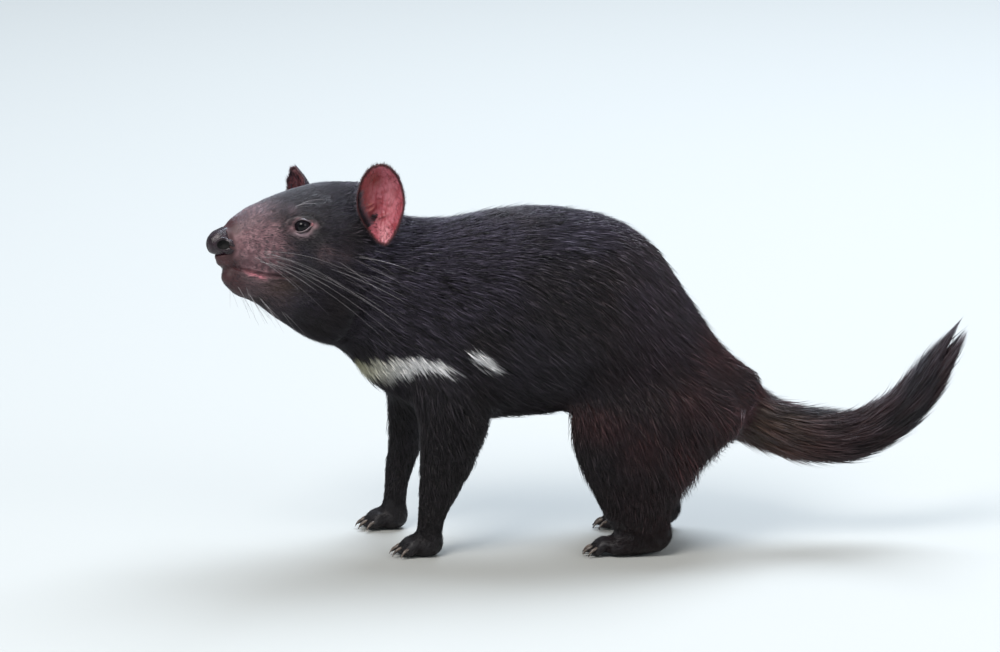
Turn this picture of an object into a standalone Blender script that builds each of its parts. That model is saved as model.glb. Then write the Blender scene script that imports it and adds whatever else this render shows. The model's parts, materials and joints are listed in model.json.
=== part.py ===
"""A life-size Tasmanian devil, standing with its head raised and turned to its left.

The animal faces -X, its left side is towards -Y, and it stands on z = 0. All sizes are in metres and
are those of the coat's outer surface. Body, head and paws are each modelled whole from lofted forms
that melt into one another, and then parted into named pieces with thin cuts.
"""

import math
import random

import bmesh
import bpy
from mathutils import Matrix, Vector

# Driving sizes
GAP = 0.0003              # clear space between pieces that meet
HEAD_TURN = 28            # degrees that the head is turned to the animal's left
HEAD_ROLL = 6             # degrees that its left ear is raised
NOSE_TIP = Vector((-0.2756, -0.0830, 0.3155))
WRIST_HEIGHT = 0.036      # where a front paw is parted from its leg
ANKLE_HEIGHT = 0.042      # where a hind foot is parted from its leg
EYE_RADIUS = 0.0082
FAR = 1.0                 # longer than anything here, for the cutting blocks

COLOURS = {
    "coat_black": ((0.018, 0.015, 0.017), 0.62, 0.0),
    "ear_skin": ((0.300, 0.075, 0.080), 0.55, 0.0),
    "nose_leather": ((0.020, 0.016, 0.022), 0.30, 0.0),
    "eye_dark": ((0.010, 0.008, 0.008), 0.08, 0.0),
    "tail_coat": ((0.040, 0.020, 0.020), 0.60, 0.0),
}


# Scene and mesh helpers

def clear_scene():
    for thing in list(bpy.data.objects):
        bpy.data.objects.remove(thing, do_unlink=True)


def collection(name):
    made = bpy.data.collections.new(name)
    bpy.context.scene.collection.children.link(made)
    return made


def material(name):
    colour, roughness, metallic = COLOURS[name]
    made = bpy.data.materials.get(name) or bpy.data.materials.new(name)
    made.use_nodes = True
    shader = made.node_tree.nodes["Principled BSDF"]
    shader.inputs["Base Color"].default_value = (*colour, 1.0)
    shader.inputs["Roughness"].default_value = roughness
    shader.inputs["Metallic"].default_value = metallic
    return made


def object_of(name, mesh, group):
    made = bpy.data.objects.new(name, mesh)
    group.objects.link(made)
    return made


def from_bmesh(name, shape, group):
    bmesh.ops.recalc_face_normals(shape, faces=shape.faces)
    mesh = bpy.data.meshes.new(name)
    shape.to_mesh(mesh)
    shape.free()
    return object_of(name, mesh, group)


def apply_modifiers(thing):
    """The object's mesh becomes what its modifiers make of it."""
    graph = bpy.context.evaluated_depsgraph_get()
    mesh = bpy.data.meshes.new_from_object(thing.evaluated_get(graph))
    thing.modifiers.clear()
    thing.data = mesh


def copy_of(thing, name):
    twin = thing.copy()
    twin.data = thing.data.copy()
    twin.name = name
    thing.users_collection[0].objects.link(twin)
    return twin


def remove(*things):
    for thing in things:
        bpy.data.objects.remove(thing, do_unlink=True)


def boolean(thing, cutter, operation, solver="EXACT"):
    cut = thing.modifiers.new(operation.title(), "BOOLEAN")
    cut.operation = operation
    cut.solver = solver
    cut.object = cutter
    apply_modifiers(thing)


def keep_largest(thing):
    """Drops every loose scrap, so that the piece is one closed surface."""
    shape = bmesh.new()
    shape.from_mesh(thing.data)
    left = set(shape.verts)
    groups = []
    while left:
        group, edge_of_search = set(), [left.pop()]
        while edge_of_search:
            vertex = edge_of_search.pop()
            group.add(vertex)
            near = {edge.other_vert(vertex) for edge in vertex.link_edges} & left
            left -= near
            edge_of_search.extend(near)
        groups.append(group)
    groups.sort(key=len)
    bmesh.ops.delete(shape, geom=[v for group in groups[:-1] for v in group], context="VERTS")
    shape.to_mesh(thing.data)
    shape.free()


def finish(thing, material_name):
    keep_largest(thing)
    thing.data.materials.clear()
    thing.data.materials.append(material(material_name))
    thing.data.shade_smooth()
    return thing


# Forms: lofted tubes, ellipsoids and blocks

def smooth_path(rows, steps):
    """Rows of numbers, with a smooth curve's rows put in between."""
    made = []
    last = len(rows) - 1
    for i in range(last):
        before, start, end, after = (rows[max(0, min(last, i + k))] for k in (-1, 0, 1, 2))
        for step in range(steps):
            t = step / steps
            made.append([
                0.5 * (2 * b + (c - a) * t + (2 * a - 5 * b + 4 * c - d) * t * t
                       + (3 * b - a - 3 * c + d) * t ** 3)
                for a, b, c, d in zip(before, start, end, after)
            ])
    made.append(list(rows[last]))
    return made


def frames_along(rows, level=False):
    """For each row x, y, z, high, wide: its centre, tangent, sideways and upward directions."""
    centres = [Vector(row[:3]) for row in rows]
    for i, row in enumerate(rows):
        tangent = (centres[min(i + 1, len(rows) - 1)] - centres[max(i - 1, 0)]).normalized()
        if level:
            tangent = Vector((0, 0, -1))
        side = Vector((0, 1, 0))
        side = (side - side.dot(tangent) * tangent).normalized()
        yield centres[i], tangent, side, side.cross(tangent).normalized(), row[3], row[4]


def tube(name, rows, group, sides=24, steps=4, level=False):
    """A loft through rows of x, y, z, half height and half width, with a domed cap on each end.

    Its sections lie across its path, or level, where half height is measured along x.
    """
    dome = (0.35, 0.70, 0.93)
    rings = []
    frames = list(frames_along(smooth_path(rows, steps), level))
    for end, out in ((0, -1), (-1, 1)):
        centre, tangent, side, up, high, wide = frames[end]
        caps = [(centre + tangent * out * min(high, wide) * s, tangent, side, up,
                 high * math.sqrt(1 - s * s), wide * math.sqrt(1 - s * s)) for s in dome]
        frames = caps[::-1] + frames if end == 0 else frames + caps
    shape = bmesh.new()
    for centre, _, side, up, high, wide in frames:
        turn = [2 * math.pi * k / sides for k in range(sides)]
        rings.append([shape.verts.new(centre + side * wide * math.cos(a) + up * high * math.sin(a))
                      for a in turn])
    for low, top in zip(rings, rings[1:]):
        for k in range(sides):
            shape.faces.new((low[k], low[(k + 1) % sides], top[(k + 1) % sides], top[k]))
    shape.faces.new(rings[0][::-1])
    shape.faces.new(rings[-1])
    return from_bmesh(name, shape, group)


def ellipsoid(name, centre, radii, group, turned=(0, 0, 0), segments=24, rings=14):
    shape = bmesh.new()
    bmesh.ops.create_uvsphere(shape, u_segments=segments, v_segments=rings, radius=1.0)
    turn = Matrix.Rotation(math.radians(turned[2]), 4, "Z") @ Matrix.Rotation(
        math.radians(turned[1]), 4, "Y") @ Matrix.Rotation(math.radians(turned[0]), 4, "X")
    place = Matrix.Translation(centre) @ turn @ Matrix.Diagonal((*radii, 1.0))
    bmesh.ops.transform(shape, matrix=place, verts=shape.verts)
    return from_bmesh(name, shape, group)


def block(name, low, high, group):
    shape = bmesh.new()
    bmesh.ops.create_cube(shape, size=1.0)
    low, high = Vector(low), Vector(high)
    bmesh.ops.scale(shape, vec=high - low, verts=shape.verts)
    bmesh.ops.translate(shape, vec=(low + high) / 2, verts=shape.verts)
    return from_bmesh(name, shape, group)


def half_space(name, point, normal, group):
    """A large block whose one face passes through the point, and that lies on the normal's side."""
    made = block(name, (-FAR, -FAR, 0), (FAR, FAR, FAR), group)
    turn = Vector((0, 0, 1)).rotation_difference(Vector(normal)).to_matrix().to_4x4()
    made.data.transform(Matrix.Translation(point) @ turn)
    return made


def melted(name, things, voxel, smoothing):
    """One closed skin over all the things, with the creases between them filled."""
    group = things[0].users_collection[0]
    shape = bmesh.new()
    for thing in things:
        shape.from_mesh(thing.data)
    made = from_bmesh(name, shape, group)
    remove(*things)
    skin = made.modifiers.new("Skin", "REMESH")
    skin.mode = "VOXEL"
    skin.voxel_size = voxel
    soft = made.modifiers.new("Soft", "SMOOTH")
    soft.factor = 0.5
    soft.iterations = smoothing
    apply_modifiers(made)
    return made


def thinned(thing, triangles):
    """Fewer faces, kept where the form needs them."""
    thing.data.calc_loop_triangles()
    fewer = thing.modifiers.new("Fewer", "DECIMATE")
    fewer.ratio = min(1.0, triangles / len(thing.data.loop_triangles))
    fewer.use_collapse_triangulate = True
    apply_modifiers(thing)


def grown(thing, amount):
    """A copy that is larger by the amount all over."""
    made = copy_of(thing, thing.name + "_grown")
    shape = bmesh.new()
    shape.from_mesh(made.data)
    shape.normal_update()
    shifts = [(vertex, vertex.normal * amount * vertex.calc_shell_factor()) for vertex in shape.verts]
    for vertex, shift in shifts:
        vertex.co += shift
    shape.to_mesh(made.data)
    shape.free()
    return made


def swell(thing, brushes):
    """Pushes the surface out (or in) round each brush's place, with a soft edge."""
    shape = bmesh.new()
    shape.from_mesh(thing.data)
    shape.normal_update()
    shifts = []
    for vertex in shape.verts:
        push = sum(height * math.exp(-((vertex.co - place).length / radius) ** 2)
                   for place, radius, height in brushes)
        shifts.append((vertex, vertex.normal * push))
    for vertex, shift in shifts:
        vertex.co += shift
    shape.to_mesh(thing.data)
    shape.free()


def parted(whole, cutter, name):
    """The whole is split by the cutter: what is inside becomes a new piece, clear of the rest."""
    inside = copy_of(whole, name)
    boolean(inside, cutter, "INTERSECT")
    outer = grown(cutter, GAP)
    boolean(whole, outer, "DIFFERENCE")
    remove(outer, cutter)
    return inside


# The body: trunk, neck and the legs down to the wrists and ankles

TRUNK = [  # x, y, z, half height, half width
    (-0.082, -0.002, 0.2280, 0.0860, 0.061),
    (-0.050, 0.000, 0.2200, 0.0965, 0.068),
    (0.000, 0.000, 0.2270, 0.1030, 0.074),
    (0.045, 0.000, 0.2305, 0.1025, 0.078),
    (0.092, 0.000, 0.2200, 0.0980, 0.078),
    (0.138, 0.000, 0.1930, 0.0700, 0.068),
    (0.183, 0.000, 0.1620, 0.0470, 0.048),
    (0.215, 0.000, 0.1410, 0.0370, 0.036),
    (0.262, 0.000, 0.1180, 0.0290, 0.030),
]
NECK = [
    (-0.1225, -0.006, 0.2550, 0.072, 0.054),
    (-0.0945, -0.003, 0.2430, 0.083, 0.060),
    (-0.0700, 0.000, 0.2325, 0.0915, 0.066),
    (-0.0350, 0.000, 0.2275, 0.0945, 0.070),
]
FRONT_LEG_LEFT = [
    (-0.048, -0.036, 0.195, 0.038, 0.032),
    (-0.044, -0.048, 0.155, 0.038, 0.028),
    (-0.044, -0.053, 0.124, 0.034, 0.025),
    (-0.0555, -0.053, 0.078, 0.0235, 0.0185),
    (-0.0645, -0.051, 0.0445, 0.0148, 0.0140),
    (-0.0675, -0.050, 0.024, 0.0130, 0.0130),
]
FRONT_LEG_RIGHT = [
    (-0.068, 0.036, 0.195, 0.042, 0.032),
    (-0.080, 0.046, 0.150, 0.040, 0.028),
    (-0.083, 0.050, 0.112, 0.028, 0.022),
    (-0.095, 0.051, 0.075, 0.0170, 0.0165),
    (-0.101, 0.050, 0.048, 0.0128, 0.0135),
    (-0.103, 0.050, 0.024, 0.0122, 0.0130),
]
HIND_LEG_LEFT = [   # level sections
    (0.1470, -0.030, 0.178, 0.060, 0.034),
    (0.1465, -0.043, 0.150, 0.081, 0.035),
    (0.1475, -0.050, 0.124, 0.084, 0.031),
    (0.1400, -0.051, 0.105, 0.0735, 0.0285),
    (0.1335, -0.052, 0.089, 0.0600, 0.0260),
    (0.1310, -0.052, 0.074, 0.0505, 0.0225),
    (0.1305, -0.051, 0.060, 0.0425, 0.0195),
    (0.1310, -0.051, 0.046, 0.0340, 0.0175),
    (0.1380, -0.050, 0.024, 0.0270, 0.0155),
]
HIND_LEG_RIGHT = [(x + 0.012, -y, z, high, wide) for x, y, z, high, wide in HIND_LEG_LEFT]

LEG_CUT_PLACE = (0.030, 0.119)   # beside the middle line, and above the floor
LEG_CUT_SLOPE = 38               # degrees that the cut rises outwards
FRONT_LEG_SPAN = (-0.300, 0.026, 0)
HIND_LEG_SPAN = (0.056, 0.235, 7)   # and degrees that the cut falls backwards from the leg's middle
NECK_CUT = (Vector((-0.086, 0.0, 0.235)), Vector((-0.88, 0.0, 0.36)))
TAIL_CUT = (Vector((0.237, 0.0, 0.131)), Vector((0.93, 0.0, -0.36)))


def leg_cutter(name, span, side, group):
    """All that lies beside the belly and below a plane that rises outwards from the groin."""
    inner, height = LEG_CUT_PLACE
    rise = math.radians(LEG_CUT_SLOPE)
    reach = sorted((0.004 * side, 0.5 * side))
    made = block(name, (span[0], reach[0], -0.1), (span[1], reach[1], 0.5), group)
    middle = (max(span[0], -0.1) + span[1]) / 2
    normal = Vector((math.tan(math.radians(span[2])), -side * math.tan(rise), 1))
    roof = half_space("roof", Vector((middle, inner * side, height)), normal, group)
    boolean(made, roof, "DIFFERENCE")
    remove(roof)
    return made


def body(group):
    legs = {
        "front_leg_left": (FRONT_LEG_LEFT, False, WRIST_HEIGHT, FRONT_LEG_SPAN, -1),
        "front_leg_right": (FRONT_LEG_RIGHT, False, WRIST_HEIGHT, FRONT_LEG_SPAN, 1),
        "hind_leg_left": (HIND_LEG_LEFT, True, ANKLE_HEIGHT, HIND_LEG_SPAN, -1),
        "hind_leg_right": (HIND_LEG_RIGHT, True, ANKLE_HEIGHT, HIND_LEG_SPAN, 1),
    }
    forms = [tube("trunk_form", TRUNK, group, sides=32), tube("neck_form", NECK, group)]
    forms += [tube(name + "_form", rows, group, level=level) for name, (rows, level, *_) in legs.items()]
    torso = melted("torso", forms, voxel=0.0034, smoothing=16)
    thinned(torso, 2800)
    tail_end = half_space("tail_end", *TAIL_CUT, group)
    boolean(torso, tail_end, "DIFFERENCE")
    neck = parted(torso, half_space("neck_end", *NECK_CUT, group), "neck")
    for name, (_, _, height, span, side) in legs.items():
        leg = parted(torso, leg_cutter(name + "_cutter", span, side, group), name)
        ground = half_space(name + "_ground", Vector((0, 0, height + GAP / 2)), (0, 0, -1), group)
        boolean(leg, ground, "DIFFERENCE")
        remove(ground)
        finish(leg, "coat_black")
    remove(tail_end)
    finish(torso, "coat_black")
    return neck


# The head, in its own frame: x runs back from the nose tip, y to the animal's right, z up

SKULL = [  # x, y, z, half height, half width
    (0.0220, 0.0, -0.0075, 0.0180, 0.0135),
    (0.0310, 0.0, -0.0060, 0.0245, 0.0190),
    (0.0450, 0.0, -0.0042, 0.0314, 0.0250),
    (0.0570, 0.0, -0.0038, 0.0362, 0.0290),
    (0.0800, 0.0, -0.0050, 0.0448, 0.0375),
    (0.1070, 0.0, -0.0096, 0.0560, 0.0485),
    (0.1350, 0.0, -0.0170, 0.0625, 0.0530),
    (0.1650, 0.0, -0.0260, 0.0700, 0.0530),
]
JAW = [
    (0.0225, 0.0, -0.0362, 0.0100, 0.0110),
    (0.0330, 0.0, -0.0420, 0.0140, 0.0170),
    (0.0450, 0.0, -0.0455, 0.0160, 0.0215),
    (0.0600, 0.0, -0.0500, 0.0195, 0.0255),
    (0.0830, 0.0, -0.0600, 0.0270, 0.0325),
    (0.1120, 0.0, -0.0700, 0.0375, 0.0410),
    (0.1390, 0.0, -0.0720, 0.0480, 0.0460),
]
CHEEKS = [
    (0.0980, 0.0, -0.0400, 0.0290, 0.0370),
    (0.1180, 0.0, -0.0450, 0.0350, 0.0450),
    (0.1450, 0.0, -0.0500, 0.0410, 0.0490),
]
UPPER_LIP = ((0.0185, 0.0, -0.0195), (0.0085, 0.0100, 0.0060))
FACE_BRUSHES = [  # place on the right half, radius, height
    ((0.0770, 0.0360, 0.0020), 0.0150, -0.0026),   # hollow before and below the eye
    ((0.0900, 0.0350, 0.0200), 0.0130, 0.0016),    # brow
    ((0.0560, 0.0290, 0.0020), 0.0160, -0.0014),   # side of the muzzle
    ((0.0370, 0.0210, -0.0160), 0.0130, 0.0014),   # whisker pad
    ((0.1180, 0.0500, -0.0220), 0.0300, 0.0020),   # cheek
]
MOUTH = [(-0.020, -0.0250), (0.013, -0.0255), (0.020, -0.0260), (0.032, -0.0298), (0.050, -0.0355),
         (0.074, -0.0395)]
JAW_BACK = (0.108, -0.140)
LIP_REACH = 0.0052        # how far above and below the mouth line the lips swell
HEAD_CUT_TOP = (0.178, 0.050)
HEAD_CUT_BOTTOM = (0.118, -0.130)

EYE = Vector((0.0858, 0.0305, 0.0080))
EYE_LOOK = (32, 8)        # degrees that the eye looks forward of sideways, and up
LID_SIZE = (0.0088, 0.0060)
LID_THICKNESS = 0.0016

NOSE = [  # x, y, z, half height, half width
    (0.0100, 0.0, -0.0035, 0.0098, 0.0100),
    (0.0140, 0.0, -0.0030, 0.0128, 0.0124),
    (0.0210, 0.0, 0.0010, 0.0118, 0.0130),
    (0.0245, 0.0, 0.0035, 0.0100, 0.0125),
]
NOSTRIL_WING = ((0.0190, 0.0098, -0.0060), (0.0088, 0.0062, 0.0084))
NOSTRIL = ((0.0108, 0.0120, -0.0038), (0.0042, 0.0050, 0.0041))
NOSTRIL_SLIT = ((0.0175, 0.0165, -0.0060), (0.0075, 0.0034, 0.0016))


def head_matrix():
    turn = Matrix.Rotation(math.radians(HEAD_TURN), 4, "Z")
    return Matrix.Translation(NOSE_TIP) @ turn @ Matrix.Rotation(math.radians(-HEAD_ROLL), 4, "X")


def mirrored(place, side):
    """A place on the left or right of the head: side is -1 for the left."""
    return Vector((place[0], abs(place[1]) * side, place[2]))


def mouth_height(x):
    """The height of the mouth line at a distance back from the nose tip."""
    for (x0, z0), (x1, z1) in zip(MOUTH, MOUTH[1:]):
        if x <= x1:
            return z0 + (z1 - z0) * max(0.0, (x - x0) / (x1 - x0))
    return MOUTH[-1][1]


def shape_lips(head):
    """Presses the mouth line in and lets the lips swell on either side of it."""
    shape = bmesh.new()
    shape.from_mesh(head.data)
    shape.normal_update()
    shifts = []
    for vertex in shape.verts:
        x, _, z = vertex.co
        away = abs(z - mouth_height(x))
        fade = min(1.0, max(0.0, (MOUTH[-1][0] + 0.006 - x) / 0.012))
        if x < MOUTH[-1][0] + 0.006 and away < LIP_REACH:
            share = away / LIP_REACH
            push = 0.0007 * math.sin(math.pi * share) - 0.0017 * max(0.0, 1 - 2.4 * share)
            shifts.append((vertex, vertex.normal * push * fade))
    for vertex, shift in shifts:
        vertex.co += shift
    shape.to_mesh(head.data)
    shape.free()


def lid_ring(name, side, group):
    """The raised rim of both lids: an almond-shaped ring that wraps the eyeball."""
    rows = []
    turns = 20
    for k in range(turns):
        angle = 2 * math.pi * k / turns
        across = LID_SIZE[0] * math.cos(angle)
        up = LID_SIZE[1] * math.sin(angle) * (1 - 0.22 * abs(math.cos(angle)) ** 3)
        reach = math.sqrt(max(0.0, EYE_RADIUS ** 2 - min(across ** 2 + up ** 2, 0.9 * EYE_RADIUS ** 2)))
        rows.append(Vector((across, -reach, up)))
    shape = bmesh.new()
    rings = []
    for k, place in enumerate(rows):
        tangent = (rows[(k + 1) % turns] - rows[k - 1]).normalized()
        outward = place.normalized()
        across = tangent.cross(outward).normalized()
        rings.append([
            shape.verts.new(place + LID_THICKNESS * (outward * math.cos(a) + across * math.sin(a)))
            for a in (math.radians(60 * j) for j in range(6))
        ])
    for k, ring in enumerate(rings):
        following = rings[(k + 1) % turns]
        for j in range(6):
            shape.faces.new((ring[j], ring[(j + 1) % 6], following[(j + 1) % 6], following[j]))
    made = from_bmesh(name, shape, group)
    look = Matrix.Rotation(math.radians(-EYE_LOOK[0]), 4, "Z") @ Matrix.Rotation(
        math.radians(-EYE_LOOK[1]), 4, "X")
    if side > 0:
        look = Matrix.Diagonal((1, -1, 1, 1)) @ look
    made.data.transform(Matrix.Translation(mirrored(EYE, side)) @ look)
    if side > 0:
        made.data.flip_normals()
    return made


def prism(name, outline, half_width, group):
    """An outline in x and z, pulled out sideways."""
    shape = bmesh.new()
    near = [shape.verts.new((x, -half_width, z)) for x, z in outline]
    face = shape.faces.new(near)
    pulled = bmesh.ops.extrude_face_region(shape, geom=[face])
    far = [v for v in pulled["geom"] if isinstance(v, bmesh.types.BMVert)]
    bmesh.ops.translate(shape, vec=(0, 2 * half_width, 0), verts=far)
    return from_bmesh(name, shape, group)


def nose_form(group):
    """The nose pad before its nostrils are cut."""
    forms = [tube("nose_form", NOSE, group)]
    forms += [ellipsoid("wing_form", mirrored(NOSTRIL_WING[0], side), NOSTRIL_WING[1], group)
              for side in (-1, 1)]
    return melted("nose_pad", forms, voxel=0.0008, smoothing=6)


def cut_nostrils(pad, group):
    for side in (-1, 1):
        for (place, radii), turned in ((NOSTRIL, (0, 14, -35 * side)), (NOSTRIL_SLIT, (0, 22, 0))):
            hole = ellipsoid("hole", mirrored(place, side), radii, group, turned, 10, 7)
            boolean(pad, hole, "DIFFERENCE")
            remove(hole)
    groove = prism("groove", [(-0.004, -0.001), (0.0010, -0.002), (0.0050, -0.0160), (-0.004, -0.0160)],
                   0.0005, group)
    boolean(pad, groove, "DIFFERENCE")
    remove(groove)


def head(group):
    forms = [tube(name, rows, group) for name, rows in
             (("skull_form", SKULL), ("jaw_form", JAW), ("cheek_form", CHEEKS))]
    forms.append(ellipsoid("lip_form", *UPPER_LIP, group))
    back = head_matrix().inverted()
    neck = [(*(back @ Vector(row[:3])), row[3], row[4]) for row in NECK[:3]]
    forms.append(tube("nape_form", neck, group))
    skull = melted("head", forms, voxel=0.0015, smoothing=20)
    swell(skull, [(mirrored(place, side), radius, height)
                  for place, radius, height in FACE_BRUSHES for side in (-1, 1)])
    shape_lips(skull)
    thinned(skull, 2700)
    edge = Vector((HEAD_CUT_TOP[0] - HEAD_CUT_BOTTOM[0], 0, HEAD_CUT_TOP[1] - HEAD_CUT_BOTTOM[1]))
    outward = Vector((edge.z, 0, -edge.x)).normalized()
    place = Vector((HEAD_CUT_TOP[0], 0, HEAD_CUT_TOP[1]))
    behind = half_space("behind_head", place, outward, group)
    boolean(skull, behind, "DIFFERENCE")
    remove(behind)
    for side in (-1, 1):
        lids = lid_ring("lids", side, group)
        boolean(skull, lids, "UNION")
        socket = ellipsoid("socket", mirrored(EYE, side), (EYE_RADIUS + GAP,) * 3, group)
        boolean(skull, socket, "DIFFERENCE")
        remove(lids, socket)
    pad = nose_form(group)
    thinned(pad, 340)
    room = grown(pad, GAP)
    boolean(skull, room, "DIFFERENCE")
    remove(room)
    cut_nostrils(pad, group)
    below = [*MOUTH, JAW_BACK, (-0.020, JAW_BACK[1])]
    jaw = parted(skull, prism("below_mouth", below, 0.09, group), "lower_jaw")
    return skull, jaw, pad, (place, outward)


def eye(name, side, group):
    return ellipsoid(name, mirrored(EYE, side), (EYE_RADIUS,) * 3, group, segments=14, rings=9)


# The ears

EAR_HIGH, EAR_WIDE, EAR_DEEP = 0.0380, 0.0214, 0.0140
EAR_THICK = 0.0024
EARS = {  # place of the bowl's rim, degrees forward of sideways, leaning back, leaning out
    "ear_left": (-1, Vector((0.1545, 0.0600, 0.0250)), 30, 4, 6),
    "ear_right": (1, Vector((0.1210, 0.0560, 0.0190)), 92, -22, 0),
}


def ear(name, group):
    """A bowl with a round upper edge and a narrow lower one, on a fleshy root."""
    side, place, forward, back, out = EARS[name]
    cells = 8
    shape = bmesh.new()
    grid = {}
    for i in range(cells + 1):
        for j in range(cells + 1):
            u, v = 2 * i / cells - 1, 2 * j / cells - 1
            across, up = u * math.sqrt(1 - v * v / 2), v * math.sqrt(1 - u * u / 2)
            low = max(0.0, -up)
            depth = EAR_DEEP * (1 - across * across - up * up) - 0.005 * up * up
            canal = 0.010 * math.exp(-((across + 0.30) ** 2 + (up + 0.42) ** 2) / 0.10)
            grid[i, j] = shape.verts.new((across * EAR_WIDE * (1 - 0.38 * low ** 1.5) + 0.004 * low * low,
                                          depth + canal, up * EAR_HIGH))
    for i in range(cells):
        for j in range(cells):
            shape.faces.new((grid[i, j], grid[i + 1, j], grid[i + 1, j + 1], grid[i, j + 1]))
    made = from_bmesh(name, shape, group)
    wall = made.modifiers.new("Wall", "SOLIDIFY")
    wall.thickness = EAR_THICK
    wall.offset = 0.0
    wall.use_even_offset = True
    apply_modifiers(made)
    root = ellipsoid("root", (-0.002, EAR_DEEP + 0.0135, -0.012), (0.0155, 0.0145, 0.0210), group,
                     segments=14, rings=9)
    boolean(made, root, "UNION")
    remove(root)
    turn = Matrix.Rotation(math.radians(-forward), 4, "Z") @ Matrix.Rotation(
        math.radians(back), 4, "Y") @ Matrix.Rotation(math.radians(out), 4, "X")
    if side > 0:
        turn = Matrix.Diagonal((1, -1, 1, 1)) @ turn
    made.data.transform(Matrix.Translation(mirrored(place, side)) @ turn)
    if side > 0:
        made.data.flip_normals()
    return made


# The paws

STUMP_FIT = 0.94          # the end of the leg in the paw, against the leg's own form
CLAW_BEND = 38            # degrees that a claw curves down
FRONT_TOES = [(-38, 0.0130), (-18, 0.0165), (0, 0.0180), (18, 0.0165), (38, 0.0130)]
HIND_TOES = [(-24, 0.0150), (-8, 0.0175), (8, 0.0175), (24, 0.0150)]
TOE_RADIUS = 0.0056
CLAW_LENGTH = 0.0125
CLAW_RADIUS = 0.0017


def strand(name, rows, thickness, group):
    """A tapered strand through rows of centre, outward direction and half width, ending in a point."""
    shape = bmesh.new()
    rings = []
    for i, (centre, outward, wide) in enumerate(rows[:-1]):
        tangent = (rows[i + 1][0] - rows[max(i - 1, 0)][0]).normalized()
        across = tangent.cross(outward).normalized()
        normal = across.cross(tangent).normalized()
        deep = normal * wide * thickness
        rings.append([shape.verts.new(centre + shift)
                      for shift in (across * wide, deep, -across * wide, -deep)])
    tip = shape.verts.new(rows[-1][0])
    for low, top in zip(rings, rings[1:]):
        for k in range(4):
            shape.faces.new((low[k], low[(k + 1) % 4], top[(k + 1) % 4], top[k]))
    for k in range(4):
        shape.faces.new((rings[-1][k], rings[-1][(k + 1) % 4], tip))
    shape.faces.new(rings[0][::-1])
    return from_bmesh(name, shape, group)


def claw(root, angle, group):
    """A curved, tapered claw that leaves a toe forwards and bends down."""
    heading = math.radians(180 + angle)
    rows = []
    place = Vector(root)
    for share in (-0.3, 0.0, 0.4, 0.75, 1.0):
        dip = math.radians(6 + CLAW_BEND * max(0.0, share))
        level = math.cos(dip)
        ahead = Vector((math.cos(heading) * level, math.sin(heading) * level, -math.sin(dip)))
        up = Vector((-ahead.x * ahead.z, -ahead.y * ahead.z, 1)).normalized()
        rows.append((place + ahead * CLAW_LENGTH * share, up, CLAW_RADIUS * min(1.0, 1.35 - 1.1 * share)))
    return strand("claw", rows, 1.35, group)


def paw(name, leg, palm, palm_size, toes, cut_height, group, heel=None):
    """The palm, its toes and claws, and the end of the leg, flattened where they stand."""
    stump = [(*row[:3], row[3] * STUMP_FIT, row[4] * STUMP_FIT)
             for row in leg if row[2] < cut_height + 0.025]
    stump.append((palm.x + 0.004, palm.y, palm.z + 0.004, palm_size[0] * 0.8, palm_size[1] * 0.9))
    forms = [tube("stump", stump, group, sides=20)]
    forms.append(ellipsoid("palm", palm, palm_size, group))
    if heel:
        forms.append(tube("sole", heel, group, sides=20))
    claws = []
    for angle, length in toes:
        heading = math.radians(180 + angle)
        ahead = Vector((math.cos(heading), math.sin(heading), 0))
        start = palm + ahead * palm_size[0] * 0.45
        knuckle = start + ahead * length * 0.55 + Vector((0, 0, 0.0030))
        tip = start + ahead * length
        tip.z = TOE_RADIUS - 0.0006
        rows = [(*start, TOE_RADIUS * 1.1, TOE_RADIUS), (*knuckle, TOE_RADIUS * 1.1, TOE_RADIUS),
                (*tip, TOE_RADIUS * 0.92, TOE_RADIUS * 0.85)]
        forms.append(tube("toe", rows, group, sides=12))
        claws.append(claw(tip + ahead * 0.0025 + Vector((0, 0, 0.0026)), angle, group))
    made = melted(name, forms, voxel=0.0013, smoothing=4)
    thinned(made, 340)
    for nail in claws:
        boolean(made, nail, "UNION")
        remove(nail)
    ends = [half_space("floor", Vector((0, 0, 0.0)), (0, 0, -1), group),
            half_space("leg_end", Vector((0, 0, cut_height - GAP / 2)), (0, 0, 1), group)]
    for end in ends:
        boolean(made, end, "DIFFERENCE")
        remove(end)
    return finish(made, "coat_black")


def paws(group):
    palm_size = (0.0165, 0.0150, 0.0120)
    for name, leg in (("front_paw_left", FRONT_LEG_LEFT), ("front_paw_right", FRONT_LEG_RIGHT)):
        x, y = leg[-1][0] - 0.003, leg[-1][1]
        paw(name, leg, Vector((x, y, 0.0105)), palm_size, FRONT_TOES, WRIST_HEIGHT, group)
    for name, leg in (("hind_foot_left", HIND_LEG_LEFT), ("hind_foot_right", HIND_LEG_RIGHT)):
        x, y = leg[-1][0] - 0.024, leg[-1][1]
        sole = [(x + 0.042, y, 0.0220, 0.0120, 0.0110), (x + 0.036, y, 0.0170, 0.0140, 0.0125),
                (x + 0.018, y, 0.0125, 0.0125, 0.0130), (x, y, 0.0100, 0.0105, 0.0140)]
        paw(name, leg, Vector((x, y, 0.0100)), (0.0160, 0.0145, 0.0105), HIND_TOES, ANKLE_HEIGHT, group,
            heel=sole)


# The tail, with its long coat in locks

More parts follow.
